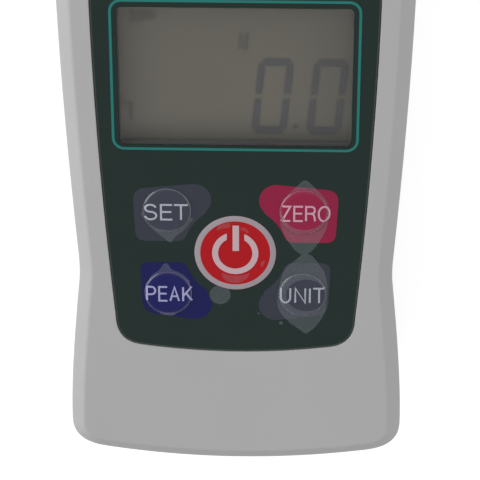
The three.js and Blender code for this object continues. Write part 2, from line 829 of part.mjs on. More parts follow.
function panHeadScrew(headRadius, headHeight, shankRadius, shankLength) {
  const round = headHeight / 3;
  const body = turnedAlongZ([
    [0, -headHeight],
    [headRadius - round, -headHeight],
    [headRadius, -headHeight + round],
    [headRadius, 0],
    [shankRadius, 0],
    [shankRadius, shankLength - shankRadius / 2],
    [shankRadius / 2, shankLength],
    [0, shankLength],
  ], smallSides);
  return body.subtract(crossRecess(headRadius, headHeight));
}

function socketHeadScrew(headRadius, headHeight, shankRadius, shankLength) {
  const body = turnedAlongZ([
    [0, -headHeight],
    [headRadius, -headHeight],
    [headRadius, 0],
    [shankRadius, 0],
    [shankRadius, shankLength],
    [0, shankLength],
  ], smallSides);
  const depth = headHeight * socketDepthShare;
  return body.subtract(rod(socketAcross, -headHeight - overrun, -headHeight + depth, 6));
}

// Chassis, anchor and load cell

function chassisPlate() {
  const length = chassisTopHeight - chassisBottomHeight;
  const shape = roundedRectangle(chassisWidth, length, chassisCorner);
  let plate = at(prism(shape, chassisBottom, chassisTop, 4), [0, chassisBottomHeight + length / 2]);
  const holes = [
    ...insertPlaces.map((place) => [insertRadius, place]),
    ...chassisScrewPlaces.map((place) => [chassisScrewRadius, place]),
    ...anchorScrewPlaces.map((place) => [anchorScrewRadius, place]),
  ];
  for (const [radius, place] of holes) {
    plate = plate.subtract(drill(radius, chassisBottom - overrun, chassisTop + overrun, place));
  }
  return plate;
}

function mountingInsert() {
  const top = chassisTop + seat + insertFlangeThickness;
  const bore = rod(insertBore, insertSink - overrun, top + overrun, smallSides);
  return turnedAlongZ([
    [0, insertSink],
    [insertRadius, insertSink],
    [insertRadius, chassisTop + seat],
    [insertFlangeRadius, chassisTop + seat],
    [insertFlangeRadius, top],
    [0, top],
  ]).subtract(bore);
}

const anchorTop = shaftAxisHeight + cellThickness / 2;
const anchorScrewSeat = anchorTop - anchorScrewSink - anchorScrewHeadHeight;
const anchorBoltSeat = chassisBottomHeight + anchorBoltSink + anchorBoltHeadHeight;

function anchorBlock() {
  const low = [-anchorWidth / 2, chassisBottomHeight, anchorBottom];
  let block = box(low, [anchorWidth / 2, chassisBottomHeight + anchorLength, anchorTop]);
  for (const place of anchorScrewPlaces) {
    block = block.subtract(drill(anchorScrewRadius, anchorBottom - overrun, anchorTop + overrun, place));
    const head = anchorScrewHeadRadius + fit;
    block = block.subtract(at(rod(head, anchorScrewSeat - seat, anchorTop + overrun), place));
  }
  const start = chassisBottomHeight - overrun;
  const shankHole = rodAlongY(anchorBoltRadius + fit, start, chassisBottomHeight + anchorLength + overrun);
  const headHole = rodAlongY(anchorBoltHeadRadius + fit, start, anchorBoltSeat + seat);
  return block.subtract(shankHole.add(headHole).translate([0, 0, shaftAxisHeight]));
}

// An S-shaped beam: two slots from opposite sides leave a bending bridge in the middle
function loadCell() {
  const half = cellThickness / 2;
  const [left, right] = [-cellWidth / 2, cellWidth / 2];
  let cell = box([left, cellBottomHeight, -half], [right, cellTopHeight, half]);
  const lowSlot = cellBottomHeight + cellSlotInset;
  const highSlot = cellTopHeight - cellSlotInset;
  cell = cell.subtract(box(
    [right - cellSlotReach, lowSlot, -half - overrun],
    [right + overrun, lowSlot + cellSlotWidth, half + overrun],
  ));
  cell = cell.subtract(box(
    [left - overrun, highSlot - cellSlotWidth, -half - overrun],
    [left + cellSlotReach, highSlot, half + overrun],
  ));
  const middle = (cellBottomHeight + cellTopHeight) / 2;
  for (const side of [-1, 1]) {
    const place = [(side * cellWindowSpacing) / 2, middle];
    cell = cell.subtract(at(rod(cellWindowRadius, -half - overrun, half + overrun), place));
  }
  const slitLow = [-cellWindowSpacing / 2, middle - cellWindowSlit / 2, -half - overrun];
  cell = cell.subtract(box(slitLow, [cellWindowSpacing / 2, middle + cellWindowSlit / 2, half + overrun]));
  const boltEnd = cellBottomHeight + anchorBoltBite;
  cell = cell.subtract(rodAlongY(anchorBoltRadius + fit, cellBottomHeight - overrun, boltEnd + fit));
  const spigotEnd = cellTopHeight - spigotLength;
  cell = cell.subtract(rodAlongY(threadRadius + fit, spigotEnd, cellTopHeight + overrun));
  return cell.translate([0, 0, shaftAxisHeight]);
}

// Measuring shaft and what is on it: made along Y, about the shaft's own axis

const shaftShoulder = casingLength + shaftStandOut;
const threadEnd = shaftShoulder + threadLength;
const nutStart = shaftShoulder + nutStandOff;
const hookStart = nutStart + nutThickness + fit;
const hookBaseEnd = hookStart + hookBaseLength;

function measuringShaft() {
  const body = turnedAlongY([
    [0, spigotStart],
    [threadRadius, spigotStart],
    [threadRadius, collarStart],
    [shaftCollarRadius, collarStart],
    [shaftCollarRadius, collarStart + shaftCollarLength],
    [shaftRadius, collarStart + shaftCollarLength],
    [shaftRadius, shaftShoulder],
    [threadRadius, shaftShoulder],
    [threadRadius, threadEnd - threadChamfer],
    [threadRadius - threadChamfer, threadEnd],
    [0, threadEnd],
  ]);
  const flatStart = shaftShoulder - shaftFlatLength;
  const flat = (side) => {
    const [near, far] = [(side * shaftFlatAcross) / 2, side * (shaftRadius + overrun)];
    const low = [-shaftRadius - overrun, flatStart, Math.min(near, far)];
    return box(low, [shaftRadius + overrun, shaftShoulder + overrun / 2, Math.max(near, far)]);
  };
  return body.subtract(flat(1)).subtract(flat(-1));
}

function shaftBush() {
  const flangeStart = casingLength + seat;
  const end = flangeStart + bushFlangeThickness;
  const body = turnedAlongY([
    [0, bushStart],
    [bushSleeveRadius, bushStart],
    [bushSleeveRadius, flangeStart],
    [bushFlangeRadius, flangeStart],
    [bushFlangeRadius, end - bushFlangeThickness / 3],
    [bushFlangeRadius - bushFlangeThickness / 3, end],
    [0, end],
  ], fineSides);
  return body.subtract(rodAlongY(shaftRadius + bushBoreGap, bushStart - overrun, end + overrun));
}

function lockNut() {
  const corner = nutAcross / Math.sqrt(3);
  const hexagon = rodAlongY(corner, nutStart, nutStart + nutThickness, 6);
  const trim = turnedAlongY([
    [0, nutStart],
    [corner - nutChamfer, nutStart],
    [corner, nutStart + nutChamfer],
    [corner, nutStart + nutThickness - nutChamfer],
    [corner - nutChamfer, nutStart + nutThickness],
    [0, nutStart + nutThickness],
  ]);
  const hole = rodAlongY(threadRadius + fit, nutStart - overrun, nutStart + nutThickness + overrun);
  return hexagon.intersect(trim).subtract(hole);
}

// The bent wire of the hook: a neck that leaves the axis, then most of a circle whose far side is on the axis
function hookPath() {
  const centre = hookBaseEnd + hookDrop;
  const onBowl = (degrees) => {
    const angle = THREE.MathUtils.degToRad(degrees);
    return new THREE.Vector3(hookBowlRadius * Math.cos(angle), centre + hookBowlRadius * Math.sin(angle), 0);
  };
  const start = new THREE.Vector3(0, hookBaseEnd - hookWireRadius, 0);
  const join = onBowl(hookStartAngle);
  const reach = start.distanceTo(join);
  const angle = THREE.MathUtils.degToRad(hookStartAngle);
  const heading = new THREE.Vector3(Math.sin(angle), -Math.cos(angle), 0);
  const neck = new THREE.CubicBezierCurve3(
    start,
    start.clone().add(new THREE.Vector3(0, reach * hookStartPullShare, 0)),
    join.clone().addScaledVector(heading, -reach * hookEndPullShare),
    join,
  );
  const points = neck.getPoints(9);
  const turns = 20;
  const step = (hookTipAngle - hookStartAngle) / turns;
  for (let i = 1; i <= turns; i++) points.push(onBowl(hookStartAngle + i * step));
  return new THREE.CatmullRomCurve3(points);
}

function tensionHook() {
  const base = turnedAlongY([
    [0, hookStart],
    [hookBaseRadius - hookBaseChamfer, hookStart],
    [hookBaseRadius, hookStart + hookBaseChamfer],
    [hookBaseRadius, hookBaseEnd - hookBaseChamfer],
    [hookBaseRadius - hookBaseChamfer, hookBaseEnd],
    [0, hookBaseEnd],
  ]);
  const ring = new THREE.Shape().absarc(0, 0, hookWireRadius, 0, 2 * Math.PI, false);
  const settings = { extrudePath: hookPath(), steps: 30, bevelEnabled: false, curveSegments: 5 };
  const wire = solid(new THREE.ExtrudeGeometry(ring, settings));
  const bore = rodAlongY(threadRadius + fit, hookStart - overrun, hookStart + hookBoreLength);
  return base.add(wire).subtract(bore);
}

// Battery, cradle, sockets and leads

const cradleBottom = backWall + seat;
const batteryAxis = cradleBottom + cradleWall + fit + batteryRadius;

// Lies along X, with its pole at the end that faces +X
function batteryCell() {
  const half = batteryLength / 2;
  return turnedAlongY([
    [0, -half],
    [batteryRadius, -half],
    [batteryRadius, half],
    [batteryPoleRadius, half],
    [batteryPoleRadius, half + batteryPoleLength],
    [0, half + batteryPoleLength],
  ], plainSides);
}

function batteryCradle() {
  const top = cradleBottom + cradleHeight;
  const tray = box([-cradleHalf, cradleBottomHeight, cradleBottom], [cradleHalf, cradleTopHeight, top]);
  const half = cradleHalf - cradleWall;
  const hollow = box(
    [-half, cradleBottomHeight + cradleWall, cradleBottom + cradleWall],
    [half, cradleTopHeight - cradleWall, top + overrun],
  );
  return tray.subtract(hollow);
}

function chargerAxis() {
  return boardBottom - seat - chargerAxisDrop;
}

function chargerSocket() {
  const top = boardBottom - seat;
  const low = [-chargerOffset - chargerWidth / 2, socketStart, top - chargerHeight];
  const body = box(low, [-chargerOffset + chargerWidth / 2, socketStart + chargerLength, top]);
  const boreEnd = socketStart + chargerBoreLength;
  const bore = rodAlongY(chargerBore, socketStart - overrun, boreEnd);
  const pin = rodAlongY(chargerPin, socketStart + chargerPin, boreEnd + overrun, smallSides);
  const place = [-chargerOffset, 0, chargerAxis()];
  return body.subtract(bore.translate(place)).add(pin.translate(place));
}

function dataMouth() {
  const top = boardBottom - seat - dataMouthDrop;
  return { top, bottom: top - dataMouthHeight };
}

function dataSocket() {
  const top = boardBottom - seat;
  const mouth = dataMouth();
  const low = [dataOffset - dataWidth / 2, socketStart, top - dataHeight];
  const body = box(low, [dataOffset + dataWidth / 2, socketStart + dataLength, top]);
  const mouthEnd = socketStart + dataMouthLength;
  const hollow = box(
    [dataOffset - dataMouthWidth / 2, socketStart - overrun, mouth.bottom],
    [dataOffset + dataMouthWidth / 2, mouthEnd, mouth.top],
  );
  const middle = (mouth.bottom + mouth.top) / 2;
  const tongue = box(
    [dataOffset - dataTongueWidth / 2, socketStart + fit, middle - dataTongueHeight / 2],
    [dataOffset + dataTongueWidth / 2, mouthEnd + overrun, middle + dataTongueHeight / 2],
  );
  return body.subtract(hollow).add(tongue);
}

function lead(points, radius) {
  const section = new THREE.Shape().absarc(0, 0, radius, 0, 2 * Math.PI, false);
  const path = new THREE.CatmullRomCurve3(points.map((p) => new THREE.Vector3(...p)));
  const settings = { extrudePath: path, steps: 8, bevelEnabled: false, curveSegments: 4 };
  return solid(new THREE.ExtrudeGeometry(section, settings));
}

// From the cradle's end wall up to the board
function batteryLead() {
  const wall = cradleHalf - cradleWall / 2;
  const start = cradleBottom + cradleHeight + fit;
  const end = boardBottom - fit;
  return lead([
    [wall, batteryLeadHeight, start],
    [wall, batteryLeadHeight, start + leadBend],
    [wall - leadBend, batteryLeadHeight, end - leadBend],
    [wall - leadBend, batteryLeadHeight, end],
  ], leadRadius);
}

// From the load cell's side up to the board
function cellCable() {
  const side = cellWidth / 2 + fit;
  const end = boardBottom - fit;
  return lead([
    [side, cellCableHeight, shaftAxisHeight],
    [side + leadBend / 2, cellCableHeight, shaftAxisHeight],
    [side + leadBend + cellCableRadius, cellCableHeight, shaftAxisHeight + leadBend],
    [side + leadBend + cellCableRadius, cellCableHeight, end - leadBend],
    [side + leadBend + cellCableRadius, cellCableHeight, end],
  ], cellCableRadius);
}

// Materials

function material(color, roughness, metalness) {
  return () => new THREE.MeshStandardMaterial({ color, roughness, metalness });
}

const greyCasing = material(0xa6a7ab, 0.55, 0);
const printedFilm = material(0x27322e, 0.35, 0);
const clearAcrylic = material(0xc8cfd0, 0.1, 0);
const displayGlassGrey = material(0x645f59, 0.3, 0);
const blackPlastic = material(0x1c1d1f, 0.5, 0);
const whitePlastic = material(0xe8e8e2, 0.5, 0);
const greyKey = material(0x3c3e48, 0.4, 0);
const crimsonKey = material(0x912346, 0.4, 0);
const navyKey = material(0x26245a, 0.4, 0);
const redKey = material(0xa41b23, 0.4, 0);
const boardLaminate = material(0x1f5a3a, 0.5, 0);
const conductiveRubber = material(0xc79aa0, 0.8, 0);
const anodisedAluminium = material(0xb9bcc0, 0.35, 0.9);
const zincSteel = material(0xb4b4ae, 0.35, 0.9);
const stainlessSteel = material(0xc9cbcd, 0.22, 1);
const brass = material(0xb58a3c, 0.3, 1);
const greenSleeve = material(0x2f7a4c, 0.45, 0);
const nickelShell = material(0xbfc2c4, 0.3, 0.9);
const wireInsulation = material(0xa8342e, 0.6, 0);
const cableSheath = material(0x2b2b2d, 0.6, 0);

// The whole gauge

const gauge = new THREE.Group();

function piece(parent, name, body, finish) {
  const mesh = new THREE.Mesh(surface(body), finish());
  mesh.name = name;
  parent.add(mesh);
  return mesh;
}

function group(parent, x = 0, y = 0, z = 0) {
  const made = new THREE.Group();
  made.position.set(x, y, z);
  parent.add(made);
  return made;
}

const casing = group(gauge);
piece(casing, "front_cover", frontCover(), greyCasing);
piece(casing, "rear_cover", rearCover(), greyCasing);
piece(casing, "graphic_overlay", graphicOverlay(), printedFilm);
piece(casing, "display_window", displayWindow(), clearAcrylic);

const keyFinishes = { set: greyKey, zero: crimsonKey, power: redKey, peak: navyKey, unit: greyKey };
for (const [key, [x, y]] of Object.entries(keyPlaces)) {
  const station = group(gauge, x, y);
  piece(station, `${key}_key`, keyCap(keyRadii[key]), keyFinishes[key]);
  piece(station, `${key}_switch_plunger`, switchPlunger(), whitePlastic);
  piece(station, `${key}_switch`, switchBody(), blackPlastic);
}

const electronics = group(gauge);
piece(electronics, "display_glass", displayGlass(), displayGlassGrey);
piece(electronics, "display_frame", displayFrame(), blackPlastic);
piece(electronics, "backlight", backlight(), whitePlastic);
piece(electronics, "contact_strip_upper", contactStrip(1), conductiveRubber);
piece(electronics, "contact_strip_lower", contactStrip(-1), conductiveRubber);
piece(electronics, "main_board", mainBoard(), boardLaminate);
piece(
  electronics,
  "processor_chip",
  chip(processorWidth, processorWidth, processorThickness, processorHeight),
  blackPlastic,
);
piece(
  electronics,
  "amplifier_chip",
  chip(amplifierWidth, amplifierLength, amplifierThickness, amplifierHeight),
  blackPlastic,
);
piece(electronics, "charger_socket", chargerSocket(), blackPlastic);
piece(electronics, "data_socket", dataSocket(), nickelShell);
piece(electronics, "battery_lead", batteryLead(), wireInsulation);
piece(electronics, "cell_cable", cellCable(), cableSheath);

const boardScrew = panHeadScrew(
  boardScrewHeadRadius,
  boardScrewHeadHeight,
  boardScrewRadius,
  boardScrewLength,
);
boardScrewPlaces.forEach(([x, y], i) => {
  piece(group(gauge, x, y, boardBottom - seat), `board_screw_${i + 1}`, boardScrew, zincSteel);
});

const caseScrewLength = caseScrewTop - caseScrewSeat;
const caseScrew = panHeadScrew(
  caseScrewHeadRadius,
  caseScrewHeadHeight,
  caseScrewRadius,
  caseScrewLength,
);
caseScrewPlaces.forEach(([x, y], i) => {
  piece(group(gauge, x, y, caseScrewSeat), `case_screw_${i + 1}`, caseScrew, zincSteel);
});

const chassis = group(gauge);
piece(chassis, "chassis_plate", chassisPlate(), zincSteel);
piece(chassis, "anchor_block", anchorBlock(), anodisedAluminium);
piece(chassis, "load_cell", loadCell(), anodisedAluminium);
insertPlaces.forEach(([x, y], i) => {
  piece(group(chassis, x, y), `mounting_insert_${i + 1}`, mountingInsert(), brass);
});

const chassisScrewLength = chassisTop + seat - (backWall + chassisPad - chassisScrewBite);
const chassisScrew = panHeadScrew(
  chassisScrewHeadRadius,
  chassisScrewHeadHeight,
  chassisScrewRadius,
  chassisScrewLength,
);
chassisScrewPlaces.forEach(([x, y], i) => {
  const place = group(chassis, x, y, chassisTop + seat);
  piece(place, `chassis_screw_${i + 1}`, chassisScrew, zincSteel).rotation.x = Math.PI;
});

const anchorScrew = socketHeadScrew(
  anchorScrewHeadRadius,
  anchorScrewHeadHeight,
  anchorScrewRadius,
  anchorScrewSeat - chassisBottom,
);
anchorScrewPlaces.forEach(([x, y], i) => {
  const place = group(chassis, x, y, anchorScrewSeat);
  piece(place, `anchor_screw_${i + 1}`, anchorScrew, zincSteel).rotation.x = Math.PI;
});

const anchorBolt = socketHeadScrew(
  anchorBoltHeadRadius,
  anchorBoltHeadHeight,
  anchorBoltRadius,
  cellBottomHeight + anchorBoltBite - anchorBoltSeat,
);
const boltPlace = group(chassis, 0, anchorBoltSeat, shaftAxisHeight);
piece(boltPlace, "anchor_bolt", anchorBolt, zincSteel).rotation.x = -Math.PI / 2;

const measuringEnd = group(gauge, 0, 0, shaftAxisHeight);
piece(measuringEnd, "shaft_bush", shaftBush(), blackPlastic);
piece(measuringEnd, "measuring_shaft", measuringShaft(), stainlessSteel);
piece(measuringEnd, "lock_nut", lockNut(), stainlessSteel);
piece(measuringEnd, "tension_hook", tensionHook(), stainlessSteel);

piece(gauge, "battery_cradle", batteryCradle(), blackPlastic);
for (let i = 0; i < batteryCount; i++) {
  const place = group(gauge, 0, firstBattery + i * batteryPitch, batteryAxis);
  const battery = piece(place, `battery_cell_${i + 1}`, batteryCell(), greenSleeve);
  battery.rotation.z = i % 2 ? Math.PI / 2 : -Math.PI / 2;
}

// The origin is at the middle of the base
const bounds = new THREE.Box3().setFromObject(gauge);
const middle = bounds.getCenter(new THREE.Vector3());
gauge.position.set(-middle.x, -middle.y, -bounds.min.z);

export default gauge;
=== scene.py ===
import math

import bmesh
import bpy
from mathutils import Matrix, Vector


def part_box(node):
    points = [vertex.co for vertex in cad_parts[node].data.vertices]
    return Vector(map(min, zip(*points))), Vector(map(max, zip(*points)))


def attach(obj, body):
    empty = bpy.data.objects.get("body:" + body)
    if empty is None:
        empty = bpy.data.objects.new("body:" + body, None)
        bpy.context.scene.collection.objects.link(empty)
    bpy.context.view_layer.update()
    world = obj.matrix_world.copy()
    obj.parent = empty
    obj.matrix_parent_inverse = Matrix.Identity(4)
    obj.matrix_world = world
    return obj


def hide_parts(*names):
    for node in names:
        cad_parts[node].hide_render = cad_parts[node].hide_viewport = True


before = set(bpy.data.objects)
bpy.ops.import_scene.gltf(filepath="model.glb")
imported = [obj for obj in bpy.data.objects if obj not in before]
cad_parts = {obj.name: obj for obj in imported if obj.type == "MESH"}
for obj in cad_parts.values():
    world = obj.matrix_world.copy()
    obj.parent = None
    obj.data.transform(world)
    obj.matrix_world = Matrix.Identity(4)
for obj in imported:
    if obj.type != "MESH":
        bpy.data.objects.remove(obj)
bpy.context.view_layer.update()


# REAR COVER
# The back half of the casing, injection moulded in ABS and sprayed grey. The chassis stands on its floor,
# its pillars take the four case screws, and a shallow recess in its back holds a rating plate.
casing_length = 156
casing_half = 33
waist_half = 30.3
waist_y = 41.9
base_corner = (6.5, 8.5)
base_swell = 2.1
shoulder_half = 32.2
shoulder_corner = (14, 14)
widest_y = 108
lower_pull_y = 18.854
upper_pull_y = 82.221
waist_blend = 2.8
wall = 2.4
floor_corner = (1.2, 1)
fit = 0.3
clearance = 0.1
# A cutter runs past what it cuts by this much, and a joined solid starts this far inside the other
over = 1
seam_z = 21.5
seam_gap = 0.3
back_round = 3.5
pillar_radius = 3.8
pillar_top = 19.3
case_screws = [(-25.5, 12), (25.5, 12), (-24.5, 142), (24.5, 142)]
case_screw_radius = 1.5
case_screw_head = 2.7
case_screw_seat = 3.4
insert_places = [(-16, 88), (16, 88), (-16, 128), (16, 128)]
insert_radius = 3
insert_pad = 4.3
chassis_pads = [(-19.4, 104), (19.4, 104)]
chassis_pad_radius = 4
chassis_z = 3.5
plate_size = (40, 24)
plate_y = 48
plate_depth = 0.4
plate_corner = 2
bush_hole = 5.6
shaft_z = 15
charger_x = -10
charger_z = 17.4
charger_hole = 3.6
data_x = 9.5
data_z = 17
data_hole = (8.6, 7.8)
end_hole_depth = 7
bush_hole_depth = 6
base_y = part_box("rear_cover")[0].y * 1000


def linear(code):
    """Turns an sRGB colour, six hex digits, into linear values."""
    parts = [int(code[i:i + 2], 16) / 255 for i in (0, 2, 4)]
    return (*(p / 12.92 if p <= 0.04045 else ((p + 0.055) / 1.055) ** 2.4 for p in parts), 1)


def add(tree, kind, links={}, values={}, **settings):
    """Adds a node with its settings, its own input values, and the outputs that feed its other inputs."""
    node = tree.nodes.new("ShaderNode" + kind)
    for name, value in settings.items():
        setattr(node, name, value)
    for name, value in values.items():
        node.inputs[name].default_value = value
    for name, source in links.items():
        tree.links.new(source, node.inputs[name])
    return node


def start_material(name):
    """A new material with an empty node tree."""
    material = bpy.data.materials.new(name)
    material.use_nodes = True
    material.node_tree.nodes.clear()
    return material, material.node_tree


def mottled(name, codes, roughness, grain, detail=2, relief=None, specular=0.5, metallic=0, altered=None):
    """A material as uneven as its real surface. codes and roughness hold one value each, or the two that the
    surface drifts between. grain is the size of the drift in millimetres, or a function that draws another
    pattern. relief holds the strength of the bumps and their height in millimetres, and the size and detail
    of their own grain if it is finer. altered changes the tint before the surface takes it."""
    material, tree = start_material(name)
    place = add(tree, "TexCoord").outputs["Object"]
    if callable(grain):
        drift = grain(tree, place)
    else:
        size = {"Scale": 1000 / grain, "Detail": detail}
        drift = add(tree, "TexNoise", {"Vector": place}, size).outputs["Fac"]
    links, values = {}, {"Specular IOR Level": specular, "Metallic": metallic}
    if len(codes) == 2:
        shades = {6: linear(codes[0]), 7: linear(codes[1])}
        tint = add(tree, "Mix", {"Factor": drift}, shades, data_type="RGBA").outputs[2]
        links["Base Color"] = altered(tree, place, tint) if altered else tint
    else:
        values["Base Color"] = linear(*codes)
    if len(roughness) == 2:
        span = {"To Min": roughness[0], "To Max": roughness[1]}
        links["Roughness"] = add(tree, "MapRange", {"Value": drift}, span).outputs["Result"]
    else:
        values["Roughness"] = roughness[0]
    if relief:
        strength, height, *own = relief
        bumps = drift
        if own:
            size = {"Scale": 1000 / own[0], "Detail": own[1]}
            bumps = add(tree, "TexNoise", {"Vector": place}, size).outputs["Fac"]
        depth = {"Strength": strength, "Distance": height / 1000}
        links["Normal"] = add(tree, "Bump", {"Height": bumps}, depth).outputs["Normal"]
    surface = add(tree, "BsdfPrincipled", links, values)
    add(tree, "OutputMaterial", {"Surface": surface.outputs[0]})
    return material


def curve(start, pull, end, count=10):
    """Points along a quadratic curve, without its first."""
    steps = [k / count for k in range(1, count + 1)]
    return [
        tuple((1 - t) ** 2 * a + 2 * t * (1 - t) * b + t * t * c for a, b, c in zip(start, pull, end))
        for t in steps
    ]


def mirrored(side):
    """The whole of an outline from its right-hand side, given from bottom to top."""
    return side + [(-x, y) for x, y in reversed(side[1:-1])]


def inset(points, distance):
    """The same outline moved inwards by a distance, corner by corner."""
    moved = []
    for i, (x, y) in enumerate(points):
        before, after = points[i - 1], points[(i + 1) % len(points)]
        into = Vector((x - before[0], y - before[1])).normalized()
        out = Vector((after[0] - x, after[1] - y)).normalized()
        normal = Vector((-into.y - out.y, into.x + out.x)).normalized()
        reach = distance / max(0.5, normal.x * -into.y + normal.y * into.x)
        moved.append((x + normal.x * reach, y + normal.y * reach))
    return moved


def toward(start, end, distance):
    """The point at a distance from start, on the way to end."""
    step = (Vector(end) - Vector(start)).normalized() * distance
    return tuple(Vector(start) + step)


def casing_outline():
    """The casing seen from its face."""
    corner_x = casing_half - base_corner[0]
    corner_rise = base_swell + 2 * base_swell / corner_x * base_corner[0]
    waist = (waist_half, waist_y)
    below = toward(waist, (casing_half, lower_pull_y), waist_blend)
    above = toward(waist, (casing_half, upper_pull_y), waist_blend)
    shoulder_y = casing_length - shoulder_corner[1]
    side = [(0, 0)]
    side += curve(side[-1], (corner_x / 2, 0), (corner_x, base_swell))
    side += curve(side[-1], (casing_half, corner_rise), (casing_half, base_corner[1]))
    side += curve(side[-1], (casing_half, lower_pull_y), below)
    side += curve(side[-1], waist, above, 6)
    side += curve(side[-1], (casing_half, upper_pull_y), (casing_half, widest_y))
    side += curve(side[-1], (casing_half, (widest_y + shoulder_y) / 2), (shoulder_half, shoulder_y))
    top_x = shoulder_half - shoulder_corner[0]
    side += curve(side[-1], (shoulder_half, casing_length), (top_x, casing_length), 14)
    return mirrored(side + [(0, casing_length)])


def circle(radius, place=(0, 0), count=48):
    """The points of a circle, anticlockwise from its right."""
    turns = [2 * math.pi * k / count for k in range(count)]
    return [(place[0] + radius * math.cos(a), place[1] + radius * math.sin(a)) for a in turns]


def rounded_rectangle(width, length, corner, place=(0, 0), count=6):
    """The points of a rectangle with round corners, each drawn in count steps."""
    points = []
    for turn, (sx, sy) in enumerate([(1, 1), (-1, 1), (-1, -1), (1, -1)]):
        middle = (place[0] + sx * (width / 2 - corner), place[1] + sy * (length / 2 - corner))
        for k in range(count + 1):
            a = math.pi / 2 * (turn + k / count)
            points.append((middle[0] + corner * math.cos(a), middle[1] + corner * math.sin(a)))
    return points


def skin(rings, ends=True):
    """A surface through rings of equally many points. Each end is closed by a face; without ends, the last
    ring joins back to the first."""
    mesh = bmesh.new()
    loops = [[mesh.verts.new(point) for point in ring] for ring in rings]
    for low, high in zip(loops, loops[1:] + ([] if ends else loops[:1])):
        for i in range(len(low)):
            mesh.faces.new((low[i - 1], low[i], high[i], high[i - 1]))
    if ends:
        mesh.faces.new(reversed(loops[0]))
        mesh.faces.new(loops[-1])
    bmesh.ops.recalc_face_normals(mesh, faces=mesh.faces)
    return mesh


def stack(layers):
    """A solid through outlines, each with its height."""
    return skin([[(x, y, z) for x, y in points] for points, z in layers])


def slab(points, low, high):
    """A flat solid of one outline, between two heights."""
    return stack([(points, low), (points, high)])


def rod(radius, low, high, place, count=48):
    """A round rod or, where it cuts, a round hole."""
    return slab(circle(radius, place, count), low, high)


def block(left, right, front, back, low, high):
    """A plain block, from its six sides."""
    return slab([(left, front), (right, front), (right, back), (left, back)], low, high)


def turned(profile, place, count=48, ends=True):
    """A piece turned on an upright axis. Its profile is pairs of radius and height."""
    return skin([[(x, y, z) for x, y in circle(radius, place, count)] for radius, z in profile], ends)


def rings_along(profile, x=0, z=shaft_z, count=48):
    """Circles round an axis that runs along the gauge, from pairs of radius and distance."""
    return [[(x + up, y, z + across) for across, up in circle(radius, count=count)] for radius, y in profile]


def turned_along(profile, x=0, z=shaft_z, count=48, ends=True):
    """A piece turned on an axis that runs along the gauge, as the shaft's does."""
    return skin(rings_along(profile, x, z, count), ends)


def piece(name, mesh, *materials):
    """Turns a mesh in millimetres into an object in metres."""
    for vert in mesh.verts:
        vert.co = (vert.co + Vector((0, base_y, 0))) / 1000
    data = bpy.data.meshes.new(name)
    mesh.to_mesh(data)
    mesh.free()
    for material in materials:
        data.materials.append(material)
    made = bpy.data.objects.new(name, data)
    bpy.context.collection.objects.link(made)
    return made


def change(made, operation, *others):
    """Joins other solids to a piece, or cuts them away. They are meshes in millimetres."""
    for other in others:
        tool = piece("tool", other)
        modifier = made.modifiers.new("solid", "BOOLEAN")
        modifier.operation = operation
        modifier.solver = "MANIFOLD"
        modifier.object = tool
        bpy.context.view_layer.update()
        result = made.evaluated_get(bpy.context.evaluated_depsgraph_get())
        made.data = bpy.data.meshes.new_from_object(result)
        made.modifiers.clear()
        bpy.data.objects.remove(tool)


def smooth(made, angle=30):
    """Shades a piece smooth between its sharp edges, and keeps its flat faces flat."""
    made.data.polygons.foreach_set("use_smooth", [True] * len(made.data.polygons))
    made.data.set_sharp_from_angle(angle=math.radians(angle))
    made.modifiers.new("flat faces", "WEIGHTED_NORMAL").keep_sharp = True


def end_holes():
    """The holes through both ends: for the shaft's bush, the charger's plug and the square data plug."""
    half_width, half_height = data_hole[0] / 2, data_hole[1] / 2
    return [
        turned_along([(bush_hole, casing_length - bush_hole_depth), (bush_hole, casing_length + over)]),
        turned_along([(charger_hole, -over), (charger_hole, end_hole_depth)], charger_x, charger_z),
        block(data_x - half_width, data_x + half_width, -over, end_hole_depth,
              data_z - half_height, data_z + half_height),
    ]


# Sprayed ABS: a low sheen over a fine orange peel, with the least variation of grey from spot to spot
sprayed_abs = mottled(
    "sprayed_grey_abs", ("a3a3a3", "a8a8a8"), (0.55,), grain=30, relief=(0.25, 0.02, 0.35, 3), specular=0.25
)

outline = casing_outline()
turns = [math.pi / 2 * k / 8 for k in range(9)]
back_edge = [(inset(outline, back_round * (1 - math.sin(a))), back_round * (1 - math.cos(a))) for a in turns]
rear_cover = piece("rear_cover_moulding", stack(back_edge + [(outline, seam_z - seam_gap)]), sprayed_abs)
inside = inset(outline, wall)
hollow = [
    (inset(outline, wall + floor_corner[0]), wall), (inside, wall + floor_corner[1]), (inside, seam_z + over)
]
change(rear_cover, "DIFFERENCE", stack(hollow))
change(rear_cover, "UNION", *[rod(pillar_radius, wall - over, pillar_top, spot) for spot in case_screws])
for radius, spots in ((chassis_pad_radius, chassis_pads), (insert_pad, insert_places)):
    change(rear_cover, "UNION", *[rod(radius, wall - over, chassis_z - clearance, spot) for spot in spots])
change(
    rear_cover,
    "DIFFERENCE",
    *[rod(case_screw_head + fit, -over, case_screw_seat + clearance, spot) for spot in case_screws],
    *[rod(case_screw_radius + fit, over, pillar_top + over, spot) for spot in case_screws],
    *[rod(insert_radius + fit, -over, chassis_z + over, spot) for spot in insert_places],
    slab(rounded_rectangle(*plate_size, plate_corner, (0, plate_y)), -over, plate_depth),
    *end_holes(),
)
smooth(rear_cover)
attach(rear_cover, "casing")
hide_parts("rear_cover")


# RATING PLATE
# A bare foil of brushed aluminium, stuck in the recess of the back. It is left without any text.
plate_gap = 0.25
plate_thickness = 0.25
plate_edge = 0.05
plate_proud = 0.02


